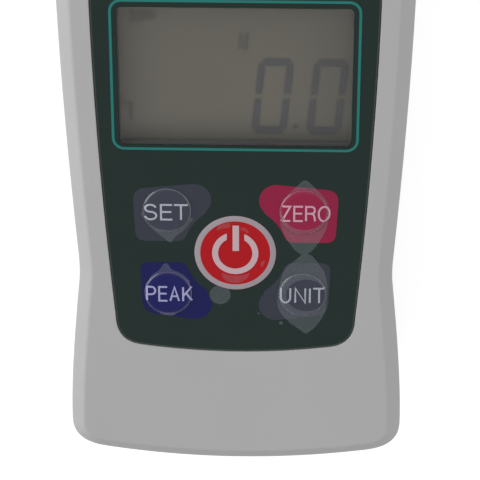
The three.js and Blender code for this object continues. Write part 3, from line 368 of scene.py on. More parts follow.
def brushing(tree, place):
    """Marks 50 mm long across the plate and 0.25 mm wide, coarser than real ones, so that they show."""
    stretch = add(tree, "Mapping", {"Vector": place}, {"Scale": (20, 4000, 4000)}).outputs["Vector"]
    return add(tree, "TexNoise", {"Vector": stretch}, {"Scale": 1, "Detail": 2}).outputs["Fac"]


# Brushed aluminium: a pale metal whose fine marks spread each highlight across them
foil = mottled(
    "brushed_aluminium_foil", ("c9cbcc",), (0.32, 0.48), brushing, relief=(0.2, 0.01), metallic=1
)
width, length = (side - 2 * plate_gap for side in plate_size)
foil_outline = rounded_rectangle(width, length, plate_corner - plate_gap, (0, plate_y))
foil_back = plate_depth - plate_thickness
rating_plate = piece("rating_plate", stack([
    (inset(foil_outline, plate_edge), foil_back), (foil_outline, foil_back + plate_edge),
    (foil_outline, plate_depth + plate_proud),
]), foil)
smooth(rating_plate)
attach(rating_plate, "casing")


# CHASSIS, ANCHOR BLOCK AND LOAD CELL
# The plate and its screws are zinc plated steel; the anchor block and the S-shaped load cell are anodised
# aluminium. Four brass inserts in the plate take M4 screws from a test stand.
def refinish(material, *names):
    """Gives CAD nodes, whose shape is right as it is, a finish of their own."""
    for name in names:
        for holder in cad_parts[name].material_slots:
            holder.material = material


def lathe_rings(tree, place):
    """The rings that a lathe's tool leaves, an eighth of a millimetre apart."""
    return add(
        tree, "TexWave", {"Vector": place}, {"Scale": 1000 / 0.4, "Distortion": 1}, bands_direction="Z"
    ).outputs["Fac"]


# Zinc plated steel: bluish white, with a faint cloudiness from the passivation
zinc_plate = mottled("zinc_plated_steel", ("aeb4b4", "cdccc0"), (0.28, 0.42), grain=3, detail=4, metallic=1)
refinish(zinc_plate, "chassis_plate", "chassis_screw_1", "chassis_screw_2", "anchor_bolt", "anchor_screw_1")
refinish(zinc_plate, "anchor_screw_2", *[f"board_screw_{number}" for number in (1, 2, 3, 4)])

# Anodised aluminium: machined, then matt etched, so it is a soft even silver
anodised = mottled("anodised_aluminium", ("c3c6c9",), (0.42,), grain=0.3, relief=(0.2, 0.02), metallic=1)
refinish(anodised, "anchor_block", "load_cell")

# Turned brass: warm yellow, with the fine rings that the lathe leaves
turned_brass = mottled("turned_brass", ("c79a4b",), (0.22, 0.36), lathe_rings, metallic=1)
refinish(turned_brass, *[f"mounting_insert_{number}" for number in (1, 2, 3, 4)])


# MEASURING SHAFT, BUSH, LOCK NUT AND HOOK
# The shaft, nut and hook are stainless steel: the shaft is ground and ends in an M6 thread, and the hook is
# a bent wire welded into a turned base. The bush in the casing's end is black acetal.
spigot_start = 119.8
collar_y = (128.8, 131.8)
collar_radius = 6
collar_edge = 0.3
shaft_radius = 4
shoulder_y = 164
shaft_edge = (0.3, 0.4)
shaft_flat = (7, 5)
thread_radius = 3
thread_pitch = 1
thread_depth = 0.35
thread_end = 180
thread_point = (0.5, 0.6)
steps_per_turn = 8
bore_radius = 3.3
bush_y = (152.4, 156.1, 157.6)
bush_radii = (4.6, 5.3, 6.2)
nut_y = (166.5, 171.5)
nut_across = 10
nut_chamfer = 0.55
nut_countersink = 0.4
hook_y = (171.8, 185.8)
hook_base_radius = 5
hook_bore_depth = 10
wire_radius = 2.4
bowl_y = 216.04
bowl_radius = 11.44
bowl_angles = (205, -25)
neck_pulls = (0.42, 0.35)
tip_steps = 4
tip_step = 0.02
tip_round = 0.28


def grinding_marks(tree, place):
    """Marks round the axis, 3 mm long and 0.17 mm wide, coarser than real ones, so that they show."""
    stretch = add(tree, "Mapping", {"Vector": place}, {"Scale": (300, 6000, 300)}).outputs["Vector"]
    return add(tree, "TexNoise", {"Vector": stretch}, {"Scale": 1, "Detail": 3}).outputs["Fac"]


# Ground stainless steel: bright, with fine marks round the axis
ground_steel = mottled(
    "ground_stainless_steel", ("b0b0ae",), (0.16, 0.3), grinding_marks, relief=(0.15, 0.01), metallic=1
)
# Acetal: a dense black plastic with a waxy, slightly uneven sheen
acetal = mottled("black_acetal", ("1d1e20",), (0.35, 0.5), grain=0.5)


def thread_rings(start, end, count=48):
    """Rings whose radius follows a thread as it winds along, and draws in at its point."""
    rings = []
    steps = round((end - start) / thread_pitch * steps_per_turn)
    point_depth, point_length = thread_point
    for k in range(steps + 1):
        y = start + (end - start) * k / steps
        ease = max(0, min(1, (end - y) / thread_pitch, (y - start) / (thread_pitch / 2)))
        core = thread_radius - point_depth * max(0, 1 - (end - y) / point_length)
        ring = []
        for i in range(count):
            turn = (y / thread_pitch + i / count) % 1
            radius = core - thread_depth * abs(2 * turn - 1) * ease
            a = 2 * math.pi * i / count
            ring.append((radius * math.sin(a), y, shaft_z + radius * math.cos(a)))
        rings.append(ring)
    return rings


low, high = collar_y
shaft_profile = [
    (thread_radius, spigot_start), (thread_radius, low), (collar_radius - collar_edge, low),
    (collar_radius, low + collar_edge), (collar_radius, high - collar_edge),
    (collar_radius - collar_edge, high), (shaft_radius, high), (shaft_radius, shoulder_y - shaft_edge[1]),
    (shaft_radius - shaft_edge[0], shoulder_y), (thread_radius, shoulder_y),
]
shaft_rings = rings_along(shaft_profile) + thread_rings(shoulder_y, thread_end)[1:]
shaft = piece("shaft_turning", skin(shaft_rings), ground_steel)
across, flat_length = shaft_flat
for side in (1, -1):
    heights = sorted((shaft_z + side * across / 2, shaft_z + side * collar_radius))
    change(shaft, "DIFFERENCE", block(
        -collar_radius, collar_radius, shoulder_y - flat_length, shoulder_y + clearance, *heights
    ))
smooth(shaft)
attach(shaft, "measuring_end")
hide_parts("measuring_shaft")

bore, sleeve, flange = bush_radii
low, middle, high = bush_y
bush_profile = [
    (bore, low), (sleeve, low), (sleeve, middle), (flange, middle), (flange, high - 0.5),
    (flange - 0.15, high - 0.15), (flange - 0.5, high), (bore + 0.3, high), (bore, high - 0.3),
]
bush = piece("bush_turning", turned_along(bush_profile, ends=False), acetal)
smooth(bush)
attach(bush, "casing")
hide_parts("shaft_bush")

corner = nut_across / math.sqrt(3)
low, high = nut_y
nut_profile = [
    (corner - nut_chamfer, low), (corner, low + nut_chamfer), (corner, high - nut_chamfer),
    (corner - nut_chamfer, high),
]
nut_mouth = bore_radius + nut_countersink + 2 * clearance
nut_bore = [
    (nut_mouth, low - 2 * clearance), (bore_radius, low + nut_countersink),
    (bore_radius, high - nut_countersink), (nut_mouth, high + 2 * clearance),
]
nut = piece("nut_forging", turned_along([(corner, low), (corner, high)], count=6), ground_steel)
change(nut, "INTERSECT", turned_along(nut_profile))
change(nut, "DIFFERENCE", turned_along(nut_bore))
smooth(nut)
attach(nut, "measuring_end")
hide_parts("lock_nut")


def bowl_point(degrees):
    """A point on the middle line of the hook's bowl."""
    a = math.radians(degrees)
    return Vector((bowl_radius * math.cos(a), bowl_y + bowl_radius * math.sin(a)))


def hook_path(neck_steps=24, bowl_steps=60):
    """The middle of the hook's wire: a neck that leaves the axis, then most of a circle."""
    first_angle, last_angle = bowl_angles
    start, join = Vector((0, hook_y[1] - wire_radius)), bowl_point(first_angle)
    reach = (join - start).length
    a = math.radians(first_angle)
    first = start + Vector((0, reach * neck_pulls[0]))
    second = join - Vector((math.sin(a), -math.cos(a))) * reach * neck_pulls[1]
    neck = []
    for t in (k / neck_steps for k in range(neck_steps)):
        neck.append(
            start * (1 - t) ** 3 + first * 3 * t * (1 - t) ** 2 + second * 3 * t * t * (1 - t) + join * t ** 3
        )
    turn = (last_angle - first_angle) / bowl_steps
    return neck + [bowl_point(first_angle + turn * k) for k in range(bowl_steps + 1)]


def wire_ring(middle, ahead, radius):
    """The round section of the wire at a point of its middle line."""
    side = Vector((ahead.y, -ahead.x))
    ring = circle(radius, count=32)
    return [(middle.x + side.x * across, middle.y + side.y * across, shaft_z + up) for across, up in ring]


path = hook_path()
wire = []
for i, point in enumerate(path):
    ahead = (path[min(i + 1, len(path) - 1)] - path[max(i - 1, 0)]).normalized()
    wire.append(wire_ring(point, ahead, wire_radius))
# The wire's end is cut square and its edge broken, in steps
ahead = (path[-1] - path[-2]).normalized()
for k in range(1, tip_steps + 1):
    narrower = tip_round * (1 - math.cos(math.pi / 2 * k / (1.1 * tip_steps)))
    wire.append(wire_ring(path[-1] + ahead * tip_step * k, ahead, wire_radius * (1 - narrower)))
low, high = hook_y
hook_profile = [
    (hook_base_radius - 0.8, low), (hook_base_radius - 0.2, low + 0.3), (hook_base_radius, low + 0.9),
    (hook_base_radius, high - 1.6), (hook_base_radius - 0.4, high - 0.6),
    (hook_base_radius - 1.3, high - 0.1), (hook_base_radius - 1.8, high),
]
hook = piece("hook_base_and_wire", turned_along(hook_profile), ground_steel)
change(hook, "UNION", skin(wire))
change(hook, "DIFFERENCE", turned_along([(bore_radius, low - over), (bore_radius, low + hook_bore_depth)]))
smooth(hook)
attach(hook, "measuring_end")
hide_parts("tension_hook")


# BATTERY
# Three nickel cells in green shrink sleeves lie across a moulded black cradle. A red lead runs from the
# cradle's end wall to the board.

# Shrink sleeve: a thin green film, glossy and drawn tight
shrink_sleeve = mottled("green_shrink_sleeve", ("2f7a4c",), (0.25,), grain=4, detail=1, relief=(0.3, 0.1))
refinish(shrink_sleeve, "battery_cell_1", "battery_cell_2", "battery_cell_3")

# Moulded black ABS: plain inside work, with the fine texture of its tool
black_abs = mottled("moulded_black_abs", ("1c1d1f",), (0.5,), grain=0.3, relief=(0.3, 0.03))
refinish(black_abs, "battery_cradle")

# Vinyl insulation: soft and slightly shiny, in red for the battery lead and black for the cell's cable
refinish(mottled("red_vinyl_insulation", ("a8342e",), (0.45, 0.6), grain=0.8), "battery_lead")
refinish(mottled("black_vinyl_sheath", ("2b2b2d",), (0.5, 0.65), grain=0.8), "cell_cable")


# MAIN BOARD, ITS CHIPS, SOCKETS AND SWITCHES
# A glass fibre board with a green solder mask hangs face down from the front cover. Its lower end carries
# the round charger socket and the metal-shelled data socket, which show through holes in the casing's end.
weave_pitch = 0.5


def glass_weave(tree, place):
    """The two ways of a weave, drawn six times as coarse as they are, so that they show."""
    scale = {"Scale": 1000 / weave_pitch / 20}
    warp = add(tree, "TexWave", {"Vector": place}, scale, bands_direction="X").outputs["Fac"]
    weft = add(tree, "TexWave", {"Vector": place}, scale, bands_direction="Y").outputs["Fac"]
    return add(tree, "Math", {0: warp, 1: weft}, operation="MULTIPLY").outputs[0]


# Solder mask: a glossy green lacquer over the weave of the board
solder_mask = mottled("green_solder_mask", ("1b5436", "23653f"), (0.3,), glass_weave)
refinish(solder_mask, "main_board")
refinish(black_abs, "processor_chip", "amplifier_chip", "charger_socket")

# Nickel plated shell: bright, slightly yellow metal
nickel = mottled("nickel_plated_steel", ("c6c5c0",), (0.22, 0.36), grain=2, detail=3, metallic=1)
refinish(nickel, "data_socket")

# White acetal: the switch plungers and the backlight's diffuser
white_acetal = mottled("white_acetal", ("e6e6e0",), (0.4, 0.5), grain=0.6)
refinish(white_acetal, "backlight")
for key in ("set", "zero", "power", "peak", "unit"):
    refinish(black_abs, f"{key}_switch")
    refinish(white_acetal, f"{key}_switch_plunger")


# DISPLAY
# A twisted nematic glass in a black frame, pressed onto two strips of conductive rubber. Its pale grey cell
# shows darker figures: here a reading of 0.0, the unit N, and the battery's mark.
window_y = 82.98
window_size = (43.4, 27.16)
window_corner = 0.8
glass_size = (47, 33)
glass_z = (29.15, 31.95)
glass_edge = 0.2
figure_rise = 0.03
figure_slant = 0.1
shadow_reach = 0.2
layer_pitch = 0.2
# Painted shade at the display's frame: the axis, the edge, the place of full light, and the share at the edge
frame_bottom, frame_top = window_y - window_size[1] / 2 + base_y, window_y + window_size[1] / 2 + base_y
painted_frame_shade = [
    ("X", -21.9, -18, 0.84), ("X", 21.9, 8, 0.82), ("Y", frame_bottom, frame_bottom + 5, 0.64),
    ("Y", frame_top, frame_top - 1.8, 0.85), ("Y", frame_top, frame_top - 12, 0.92),
]


def carbon_layers(tree, place):
    """The rubber's layers, drawn six times as coarse as they are, so that they show."""
    scale = {"Scale": 1000 / layer_pitch / 20}
    return add(tree, "TexWave", {"Vector": place}, scale, bands_direction="X").outputs["Fac"]


def paint_frame_shade(tree, place, tint):
    """Paints shade into a tint, darker towards the display's frame where less light reaches the reflector."""
    spot = add(tree, "SeparateXYZ", {"Vector": place})
    for axis, edge, full, least in painted_frame_shade:
        span = {"From Min": edge / 1000, "From Max": full / 1000, "To Min": least}
        shade = add(tree, "MapRange", {"Value": spot.outputs[axis]}, span).outputs["Result"]
        tint = add(
            tree, "Mix", {6: tint, 7: shade}, {"Factor": 1}, data_type="RGBA", blend_type="MULTIPLY"
        ).outputs[2]
    return tint


def tinted_clear(name, *codes):
    """A clear layer that only dims what is behind it, a little unevenly: half-driven crystal, and painted
    shadow.
    """
    material, tree = start_material(name)
    place = add(tree, "TexCoord").outputs["Object"]
    uneven = add(tree, "TexNoise", {"Vector": place}, {"Scale": 1000 / 1.5, "Detail": 1}).outputs["Fac"]
    shades = {6: linear(codes[0]), 7: linear(codes[1])}
    tint = add(tree, "Mix", {"Factor": uneven}, shades, data_type="RGBA").outputs[2]
    dimmed = add(tree, "BsdfTransparent", {"Color": tint})
    add(tree, "OutputMaterial", {"Surface": dimmed.outputs[0]})
    return material


# Conductive rubber: matt pink silicone with fine carbon layers across it
conductive_rubber = mottled("conductive_silicone", ("c79aa0", "5b474a"), (0.8,), carbon_layers)
refinish(conductive_rubber, "contact_strip_upper", "contact_strip_lower")
refinish(black_abs, "display_frame")

# Display cell: a warm grey from the polariser over the unlit backlight, with painted shade towards its frame
display_cell = mottled(
    "polarised_display_glass", ("545045", "585449"), (0.35,), grain=12, specular=0.25, altered=paint_frame_shade
)
# Driven segments: the figures, a cool dark grey seen a little deeper than the glass, with the same painted
# shade
display_figure = mottled(
    "dark_display_segment", ("343437", "39393c"), (0.35,), grain=2, detail=1, specular=0.25, altered=paint_frame_shade
)
# Half-driven segments: the faint marks; and a painted shadow round each figure and mark, as if on the
# reflector
painted_segment_shadow = tinted_clear("display_segment_shadow", "f0f0f1", "f3f3f4")
faint_segment = tinted_clear("faint_display_segment", "f5f5f6", "f7f7f8")

low, high = glass_z
glass_outline = rounded_rectangle(*glass_size, window_corner, (0, window_y))
glass_inside = inset(glass_outline, glass_edge)
glass = piece("display_glass_cell", stack([
    (glass_inside, low), (glass_outline, low + glass_edge),
    (glass_outline, high - glass_edge), (glass_inside, high),
]), display_cell)
smooth(glass)
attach(glass, "casing")
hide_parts("display_glass")


def flat_shapes(outlines, bottom, top):
    """Thin flat solids, one for each outline."""
    whole = bmesh.new()
    for points in outlines:
        part = slab(points, bottom, top)
        data = bpy.data.meshes.new("part")
        part.to_mesh(data)
        part.free()
        whole.from_mesh(data)
        bpy.data.meshes.remove(data)
    return whole


def nought(left, bottom, width, height=15.1, upright=1.3, bar=1.5):
    """The six driven segments of a nought, mitred where they meet, leaning to the right."""
    gap, middle = 0.09, height / 2
    cut_x, cut_y = 1.05, 1.35
    near_middle, nearest_middle = 0.62, 0.42
    bars = []
    for end, way in ((height, -1), (0, 1)):
        inner_y, corner_y = end + way * bar, end + way * (cut_y / 2 - gap)
        bars.append([(cut_x, end), (width - cut_x, end), (width - cut_x / 2 - gap, corner_y),
                     (width - upright - gap, inner_y), (upright + gap, inner_y), (cut_x / 2 + gap, corner_y)])
        for outer, side in ((0, 1), (width, -1)):
            bars.append([
                (outer + side * (cut_x / 2 - gap), end + way * (cut_y / 2 + gap)), (outer, end + way * cut_y),
                (outer, middle - way * near_middle),
                (outer + side * upright / 2, middle - way * nearest_middle),
                (outer + side * upright, middle - way * near_middle),
                (outer + side * upright, inner_y + way * gap),
            ])
    shapes = [[(left + x + figure_slant * y, bottom + y) for x, y in bar] for bar in bars]
    return [points if turns_left(points) else points[::-1] for points in shapes]


def turns_left(points):
    """Whether an outline runs anticlockwise."""
    return sum(a[0] * b[1] - b[0] * a[1] for a, b in zip(points, points[1:] + points[:1])) > 0


# What lies on the face is placed from the middle of the power key
power_y = 47
figures = nought(2.87, power_y + 23.55, 6.6) + nought(13.2, power_y + 23.5, 6.5)
figures.append(rounded_rectangle(0.75, 0.75, 0.2, (11.25, power_y + 25.05)))
# The battery's mark, a faint angle at the left, and the unit N
marks = [rounded_rectangle(1.15, 2.3, 0.1, (x, power_y + 46.75)) for x in (-18.95, -17.5)]
marks.append(rounded_rectangle(1.5, 1.9, 0.1, (-15.9, power_y + 46.95)))
marks.append(rounded_rectangle(0.5, 0.8, 0.1, (-14.8, power_y + 46.9)))
marks.append([(x, power_y + y) for x, y in ((-20.1, 26.3), (-19.45, 26.3), (-19.4, 29.7), (-20.05, 29.7))])
marks.append([(x, power_y + y) for x, y in ((-21.2, 29.25), (-20.1, 29.25), (-20.1, 29.7), (-21.2, 29.7))])
low, high, stem = power_y + 40.3, power_y + 43.6, 0.5
for foot, head in ((0.4, 0.7), (1.6, 1.9), (1.6, 0.6)):
    marks.append([(foot, low), (foot + stem, low), (head + stem, high), (head, high)])

low, high = glass_z[1] - 0.01, glass_z[1] + figure_rise
display_figures = piece("display_figures", flat_shapes(figures, low, high), display_figure)
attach(display_figures, "casing")
# Each layer lies a hundredth of a millimetre under the one before it, so that no two are level
figure_shadows = [inset(points, -shadow_reach) for points in figures]
mark_shadows = [inset(points, -shadow_reach) for points in marks]
shades = {
    "display_figure_shadows": (figure_shadows, painted_segment_shadow, high - 0.02),
    "display_marks": (marks, faint_segment, high - 0.01),
    "display_mark_shadows": (mark_shadows, painted_segment_shadow, high - 0.02),
}
for name, (shapes, material, top) in shades.items():
    shade = piece(name, slab(shapes[0], low, top), material)
    for points in shapes[1:]:
        change(shade, "UNION", slab(points, low, top))
    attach(shade, "casing")


# FRONT COVER
# The face half of the casing, moulded and sprayed as the rear one. A flat chamfer runs round its rim, and a
# shallow recess holds the graphic overlay; the cuts for the window and the keys go on through its wall.
casing_depth = 35.6
chamfer_width = 2.6
chamfer_depth = 2
face_inside = 32.4
recess_floor = 34.8
overlay_half = 26.7
overlay_low_half = 23.35
overlay_y = (25.5, 129)
overlay_low_corner = (4.85, 7.5)
overlay_top_corner = (5.5, 7)
overlay_swell = 1.3
overlay_pull = 0.53
recess_margin = 0.06
window_ledge = 1.5
window_rebate_z = 33.7
small_key = 4.63
keys = {
    "set": (-13.05, 55.8, small_key),
    "zero": (13.05, 55.8, small_key),
    "power": (0, power_y, 7.87),
    "peak": (-13.05, 38.2, small_key),
    "unit": (13.05, 38.2, small_key),
}


def overlay_outline(margin):
    """The graphic overlay seen from its face, grown by a margin."""
    bottom, top = overlay_y
    low_x = overlay_low_half - overlay_low_corner[0]
    high_x = overlay_half - overlay_top_corner[0]
    low_y = bottom + overlay_low_corner[1]
    high_y = top - overlay_top_corner[1]
    low_rise = bottom + overlay_swell + 2 * overlay_swell / low_x * overlay_low_corner[0]
    high_rise = top - overlay_swell - 2 * overlay_swell / high_x * overlay_top_corner[0]
    side = [(0, bottom)]
    side += curve(side[-1], (low_x / 2, bottom), (low_x, bottom + overlay_swell))
    side += curve(side[-1], (overlay_low_half, low_rise), (overlay_low_half, low_y))
    pull_y = low_y + overlay_pull * (widest_y - low_y)
    side += curve(side[-1], (overlay_half, pull_y), (overlay_half, widest_y))
    side += [(overlay_half, high_y)]
    side += curve(side[-1], (overlay_half, high_rise), (high_x, top - overlay_swell))
    side += curve(side[-1], (high_x / 2, top), (0, top))
    return inset(mirrored(side), -margin)


def give_second(made, chosen):
    """Gives a piece's second material to the faces whose middle, in millimetres, is chosen."""
    for face in made.data.polygons:
        if chosen(face.center * 1000 - Vector((0, base_y, 0))):
            face.material_index = 1


# Masking paint: dull black, brushed on the inside of the window's opening so that no light strays
masking_paint = mottled("matt_masking_paint", ("424242", "4a4a4a"), (0.8,), grain=0.7)

chamfer_foot = casing_depth - chamfer_depth
rim_profile = [
    (0, chamfer_foot - 0.45), (0.05, chamfer_foot - 0.15), (0.3, chamfer_foot + 0.2),
    (chamfer_width - 0.35, casing_depth - 0.25), (chamfer_width - 0.02, casing_depth - 0.06),
    (chamfer_width + 0.35, casing_depth),
]
rim = [(inset(outline, away), z) for away, z in rim_profile]
front_cover = piece("front_cover_moulding", stack([(outline, seam_z)] + rim), sprayed_abs, masking_paint)
change(front_cover, "DIFFERENCE", slab(inset(outline, wall), seam_z - over, face_inside))
recess = overlay_outline(recess_margin)
flare = [
    (0, recess_floor), (0, casing_depth - 0.16), (-0.05, casing_depth - 0.05),
    (-0.16, casing_depth + 0.01), (-0.16, casing_depth + over),
]
change(front_cover, "DIFFERENCE", stack([(inset(recess, away), z) for away, z in flare]))
ledge_size = [side + 2 * (window_ledge + fit) for side in window_size]
ledge_outline = rounded_rectangle(*ledge_size, window_corner, (0, window_y))
window_outline = rounded_rectangle(*window_size, window_corner, (0, window_y))
change(
    front_cover,
    "DIFFERENCE",
    slab(ledge_outline, window_rebate_z, casing_depth),
    slab(window_outline, face_inside - over, casing_depth),
    *[rod(radius + fit, face_inside - over, casing_depth, (x, y)) for x, y, radius in keys.values()],
    *end_holes(),
)
half_width, half_length = (side / 2 + clearance for side in window_size)
give_second(
    front_cover,
    lambda spot: abs(spot.x) < half_width and abs(spot.y - window_y) < half_length and spot.z < recess_floor,
)
smooth(front_cover)
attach(front_cover, "casing")
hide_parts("front_cover")


# DISPLAY WINDOW
# A clear acrylic pane, held by its flange under the overlay's edge, with a raised middle that fills the
# overlay's opening.
pane_bottom = 33.8
pane_gap = 0.08
pane_edge = 0.02
film_bottom = 34.9
film_z = 35.4
coat_index = 1.4

# Hard-coated acrylic: no colour of its own, and a mirror gloss on both faces that grows at a grazing view
clear_acrylic, tree = start_material("hard_coated_acrylic")
inside = add(tree, "NewGeometry").outputs["Backfacing"]
both_ways = {"To Min": coat_index, "To Max": 1 / coat_index}
index = add(tree, "MapRange", {"Value": inside}, both_ways).outputs["Result"]
gloss = add(tree, "Fresnel", {"IOR": index}).outputs[0]
through = add(tree, "BsdfTransparent").outputs[0]
mirror = add(tree, "BsdfAnisotropic", values={"Roughness": 0.05}).outputs[0]
surface = add(tree, "MixShader", {0: gloss, 1: through, 2: mirror})
add(tree, "OutputMaterial", {"Surface": surface.outputs[0]})

middle_size = [side - 2 * pane_gap for side in window_size]
flange_size = [side + 2 * window_ledge for side in window_size]
middle_outline = rounded_rectangle(*middle_size, window_corner - pane_gap, (0, window_y))
flange_outline = rounded_rectangle(*flange_size, window_corner, (0, window_y))
pane = piece("display_pane", stack([
    (flange_outline, pane_bottom), (flange_outline, recess_floor), (middle_outline, recess_floor),
    (middle_outline, film_z - pane_edge), (inset(middle_outline, pane_edge), film_z),
]), clear_acrylic)
smooth(pane)
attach(pane, "casing")
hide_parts("display_window")


# GRAPHIC OVERLAY
# A sheet of polycarbonate film, printed on its underside in dark green-black, die cut, and stuck in the
# recess. A teal line runs round the display, and each small key has a coloured field.
overlay_gap = 0.05
overlay_edge = 0.08
line_width = 0.5
line_box = (-22.9, 22.9, power_y + 21.6, power_y + 50.8)
line_corner = 2.1
# A key's field: the lobe at the top, where the hollow starts, the nook beside it, and the outer corners
lobe_place = (-7.85, 11.15)
lobe_radius = 3.3
lobe_end = 95
hollow_start = 1.6
nook_width = 0.6
field_corners = (2.4, 1.9, 1.5)
# Each printed layer is sunk a little into the film, and rises over it by its own height
ink_root = 0.02
margin_rise = 0.01
field_rise = 0.015
line_rise = 0.02

# Printed polycarbonate: satin film with a very fine matt texture on its face
printed_film = mottled(
    "printed_polycarbonate_film", ("182522", "1b2926"), (0.52,), grain=9, detail=3,
    relief=(0.2, 0.01, 0.25, 2), specular=0.15,
)


def ink(name, *codes, roughness=0.52, specular=0.15):
    """A printed colour under the film: the film's own sheen, over ink that is a little uneven."""
    return mottled(name, codes, (roughness,), grain=3, detail=3, specular=specular)


# Screen inks: dense flat colours, dulled by the film over them
teal_ink = ink("teal_ink", "1f6d66", "23716b")
slate_ink = ink("slate_ink", "31343e", "353842")
crimson_ink = ink("crimson_ink", "821939", "881b3d")
navy_ink = ink("navy_ink", "111349", "15174e")
# The film's margin was left thinly inked, so that its cut edge looks a little paler
margin_ink = ink("film_margin", "363f3c", "3a4340")

overlay = piece("overlay_film", stack([
    (overlay_outline(0), film_bottom), (overlay_outline(0), film_z - overlay_edge),
    (overlay_outline(-overlay_edge), film_z),
]), printed_film)
low, high = film_bottom - over, film_z + over
change(
    overlay,
    "DIFFERENCE",
    slab(window_outline, low, high),
    *[rod(radius + overlay_gap, low, high, (x, y), 96) for x, y, radius in keys.values()],
)
smooth(overlay)
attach(overlay, "casing")
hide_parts("graphic_overlay")


def printed_line(name, inner, outer, rise, material):
    """A line of ink between two outlines, proud of the film by a rise."""
    low, high = film_z - ink_root, film_z + rise
    loops = ((outer, low), (outer, high), (inner, high), (inner, low))
    line = piece(name, skin([[(x, y, z) for x, y in points] for points, z in loops], ends=False), material)
    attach(line, "casing")


printed_line("film_margin", overlay_outline(-0.36), overlay_outline(-0.09), margin_rise, margin_ink)
left, right, low, high = line_box
middle = ((left + right) / 2, (low + high) / 2)
inner, outer = (
    rounded_rectangle(right - left + grow, high - low + grow, line_corner + grow / 2, middle, 10)
    for grow in (-line_width, line_width)
)
printed_line("teal_line", inner, outer, line_rise, teal_ink)


def arc_points(x, y, across, up, start, end, count=14):
    """Points along part of a circle or an oval, from one angle to another."""
    steps = [math.radians(start + (end - start) * k / count) for k in range(count + 1)]
    return [(x + across * math.cos(a), y + up * math.sin(a)) for a in steps]


def rounded_corner(before, corner, after, reach):
    """The points of a corner that is rounded off from a reach before it to the same reach after it."""
    start, end = toward(corner, before, reach), toward(corner, after, reach)
    return [start] + curve(start, corner, end, 6)


def field_outline(side, row, far, near, hollow):
    """A key's coloured field: straight outside, hollowed round the power key, with a lobe beside it. far and
    near are its outer corners, away from the power key's row and beside it."""
    start_y = near[1] + hollow_start
    start = math.degrees(math.atan2(start_y, -math.sqrt(hollow ** 2 - start_y ** 2)))
    meeting = math.degrees(math.atan2(lobe_place[1], lobe_place[0]))
    points = arc_points(0, 0, hollow, hollow, start, meeting, 12)
    points += arc_points(*lobe_place, lobe_radius, lobe_radius, meeting - 180, lobe_end, 12)[1:]
    inner = (points[0][0] - nook_width, near[1])
    points += rounded_corner(points[-1], far, near, field_corners[0])
    points += rounded_corner(far, near, inner, field_corners[1])
    points += rounded_corner(near, inner, points[0], field_corners[2])[:-1]
    return [(side * -x, power_y + row * y) for x, y in points]


fields = {
    "set": (slate_ink, field_outline(-1, 1, (-19.55, 13.25), (-19.1, 2.4), 10.05)),
    "zero": (crimson_ink, field_outline(1, 1, (-19.7, 13.3), (-19.2, 2.4), 10.1)),
    "peak": (navy_ink, field_outline(-1, -1, (-18, 13.05), (-18.4, 2.15), 9.75)),
    "unit": (slate_ink, field_outline(1, -1, (-18.05, 13.1), (-18.45, 1.95), 9.9)),
}
for key, (material, points) in fields.items():
    x, y, radius = keys[key]
    field = piece(f"{key}_field", slab(points, film_z - ink_root, film_z + field_rise), material)
    change(field, "DIFFERENCE", rod(radius + overlay_gap, film_z - over, film_z + over, (x, y), 96))
    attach(field, "casing")


# KEYS
# Five caps of moulded silicone with a printed hard film on top. Each small one is flat in the middle and
# falls away in a round shoulder. The red power key is flat, inside a pale ring, and carries the on-off sign.
key_bottom = 30.9
key_flange_z = (31.3, 32.1)
key_flange = 1.15
key_boss = 2.2
key_rise = 0.42
key_flat = 3.25
rim_width = 0.4
edge_radius = 0.1
edge_rise = 0.03
ring_inside = 6.75
power_z = film_z + 0.05
power_edge = ((0, -0.1), (0.03, -0.03), (0.1, 0))
sign_z = (power_z - 0.02, power_z + 0.07)
sign_radii = (3.29, 4.46)
sign_gap = (-1.62, 1.75)
sign_bar = (-0.51, 0.73, 0.5, 5.87)


def key_height(radius):
    """The face of a small key: flat, and falling away to the film over its outer part."""
    t = max(0, (radius - key_flat) / (small_key - key_flat))
    return film_z + key_rise * (1 - t ** 4)


def key_profile(radius, face):
    """The half section of a cap: its boss on the switch, its flange under the cover, then its face."""
    flange_bottom, flange_top = key_flange_z
    return [
        (key_boss, key_bottom), (key_boss, flange_bottom), (radius + key_flange, flange_bottom),
        (radius + key_flange, flange_top), (radius, flange_top), *face,
    ]


# Ink on the keys: the colours of the fields, glossier where the film is pressed over the silicone
key_finishes = {
    "set": ("slate_ink_on_key", "353844", "393c48", "grey_key"),
    "zero": ("crimson_ink_on_key", "86193b", "8c1d42", "crimson_key"),
    "peak": ("navy_ink_on_key", "121450", "161856", "navy_key"),
    "unit": ("slate_ink_on_unit_key", "343743", "383b47", "grey_key"),
}
# Drawn ink: darker and glossier still on the shoulder, where the film is drawn down
rim_codes = {"set": "262a36", "zero": "810730", "peak": "060948", "unit": "262a38"}
# Rings close together down the shoulder, then two on the flat
face_radii = [r / 100 for r in range(round(small_key * 100), 320, -6)] + [2, 0.3]
small_face = [(r, key_height(r)) for r in face_radii]
for key, (name, code, other, slot) in key_finishes.items():
    x, y, radius = keys[key]
    key_ink = ink(name, code, other, roughness=0.3, specular=0.16)
    drawn_ink = ink(f"drawn_ink_{key}", rim_codes[key], rim_codes[key], roughness=0.16, specular=0.5)
    cap = piece(f"{key}_key_cap", turned(key_profile(radius, small_face), (x, y), 96), key_ink, drawn_ink)
    give_second(
        cap, lambda spot: math.hypot(spot.x - x, spot.y - y) > radius - rim_width and spot.z > film_z
    )
    smooth(cap, 40)
    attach(cap, f"{key}_button")
    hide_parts(f"{key}_key")
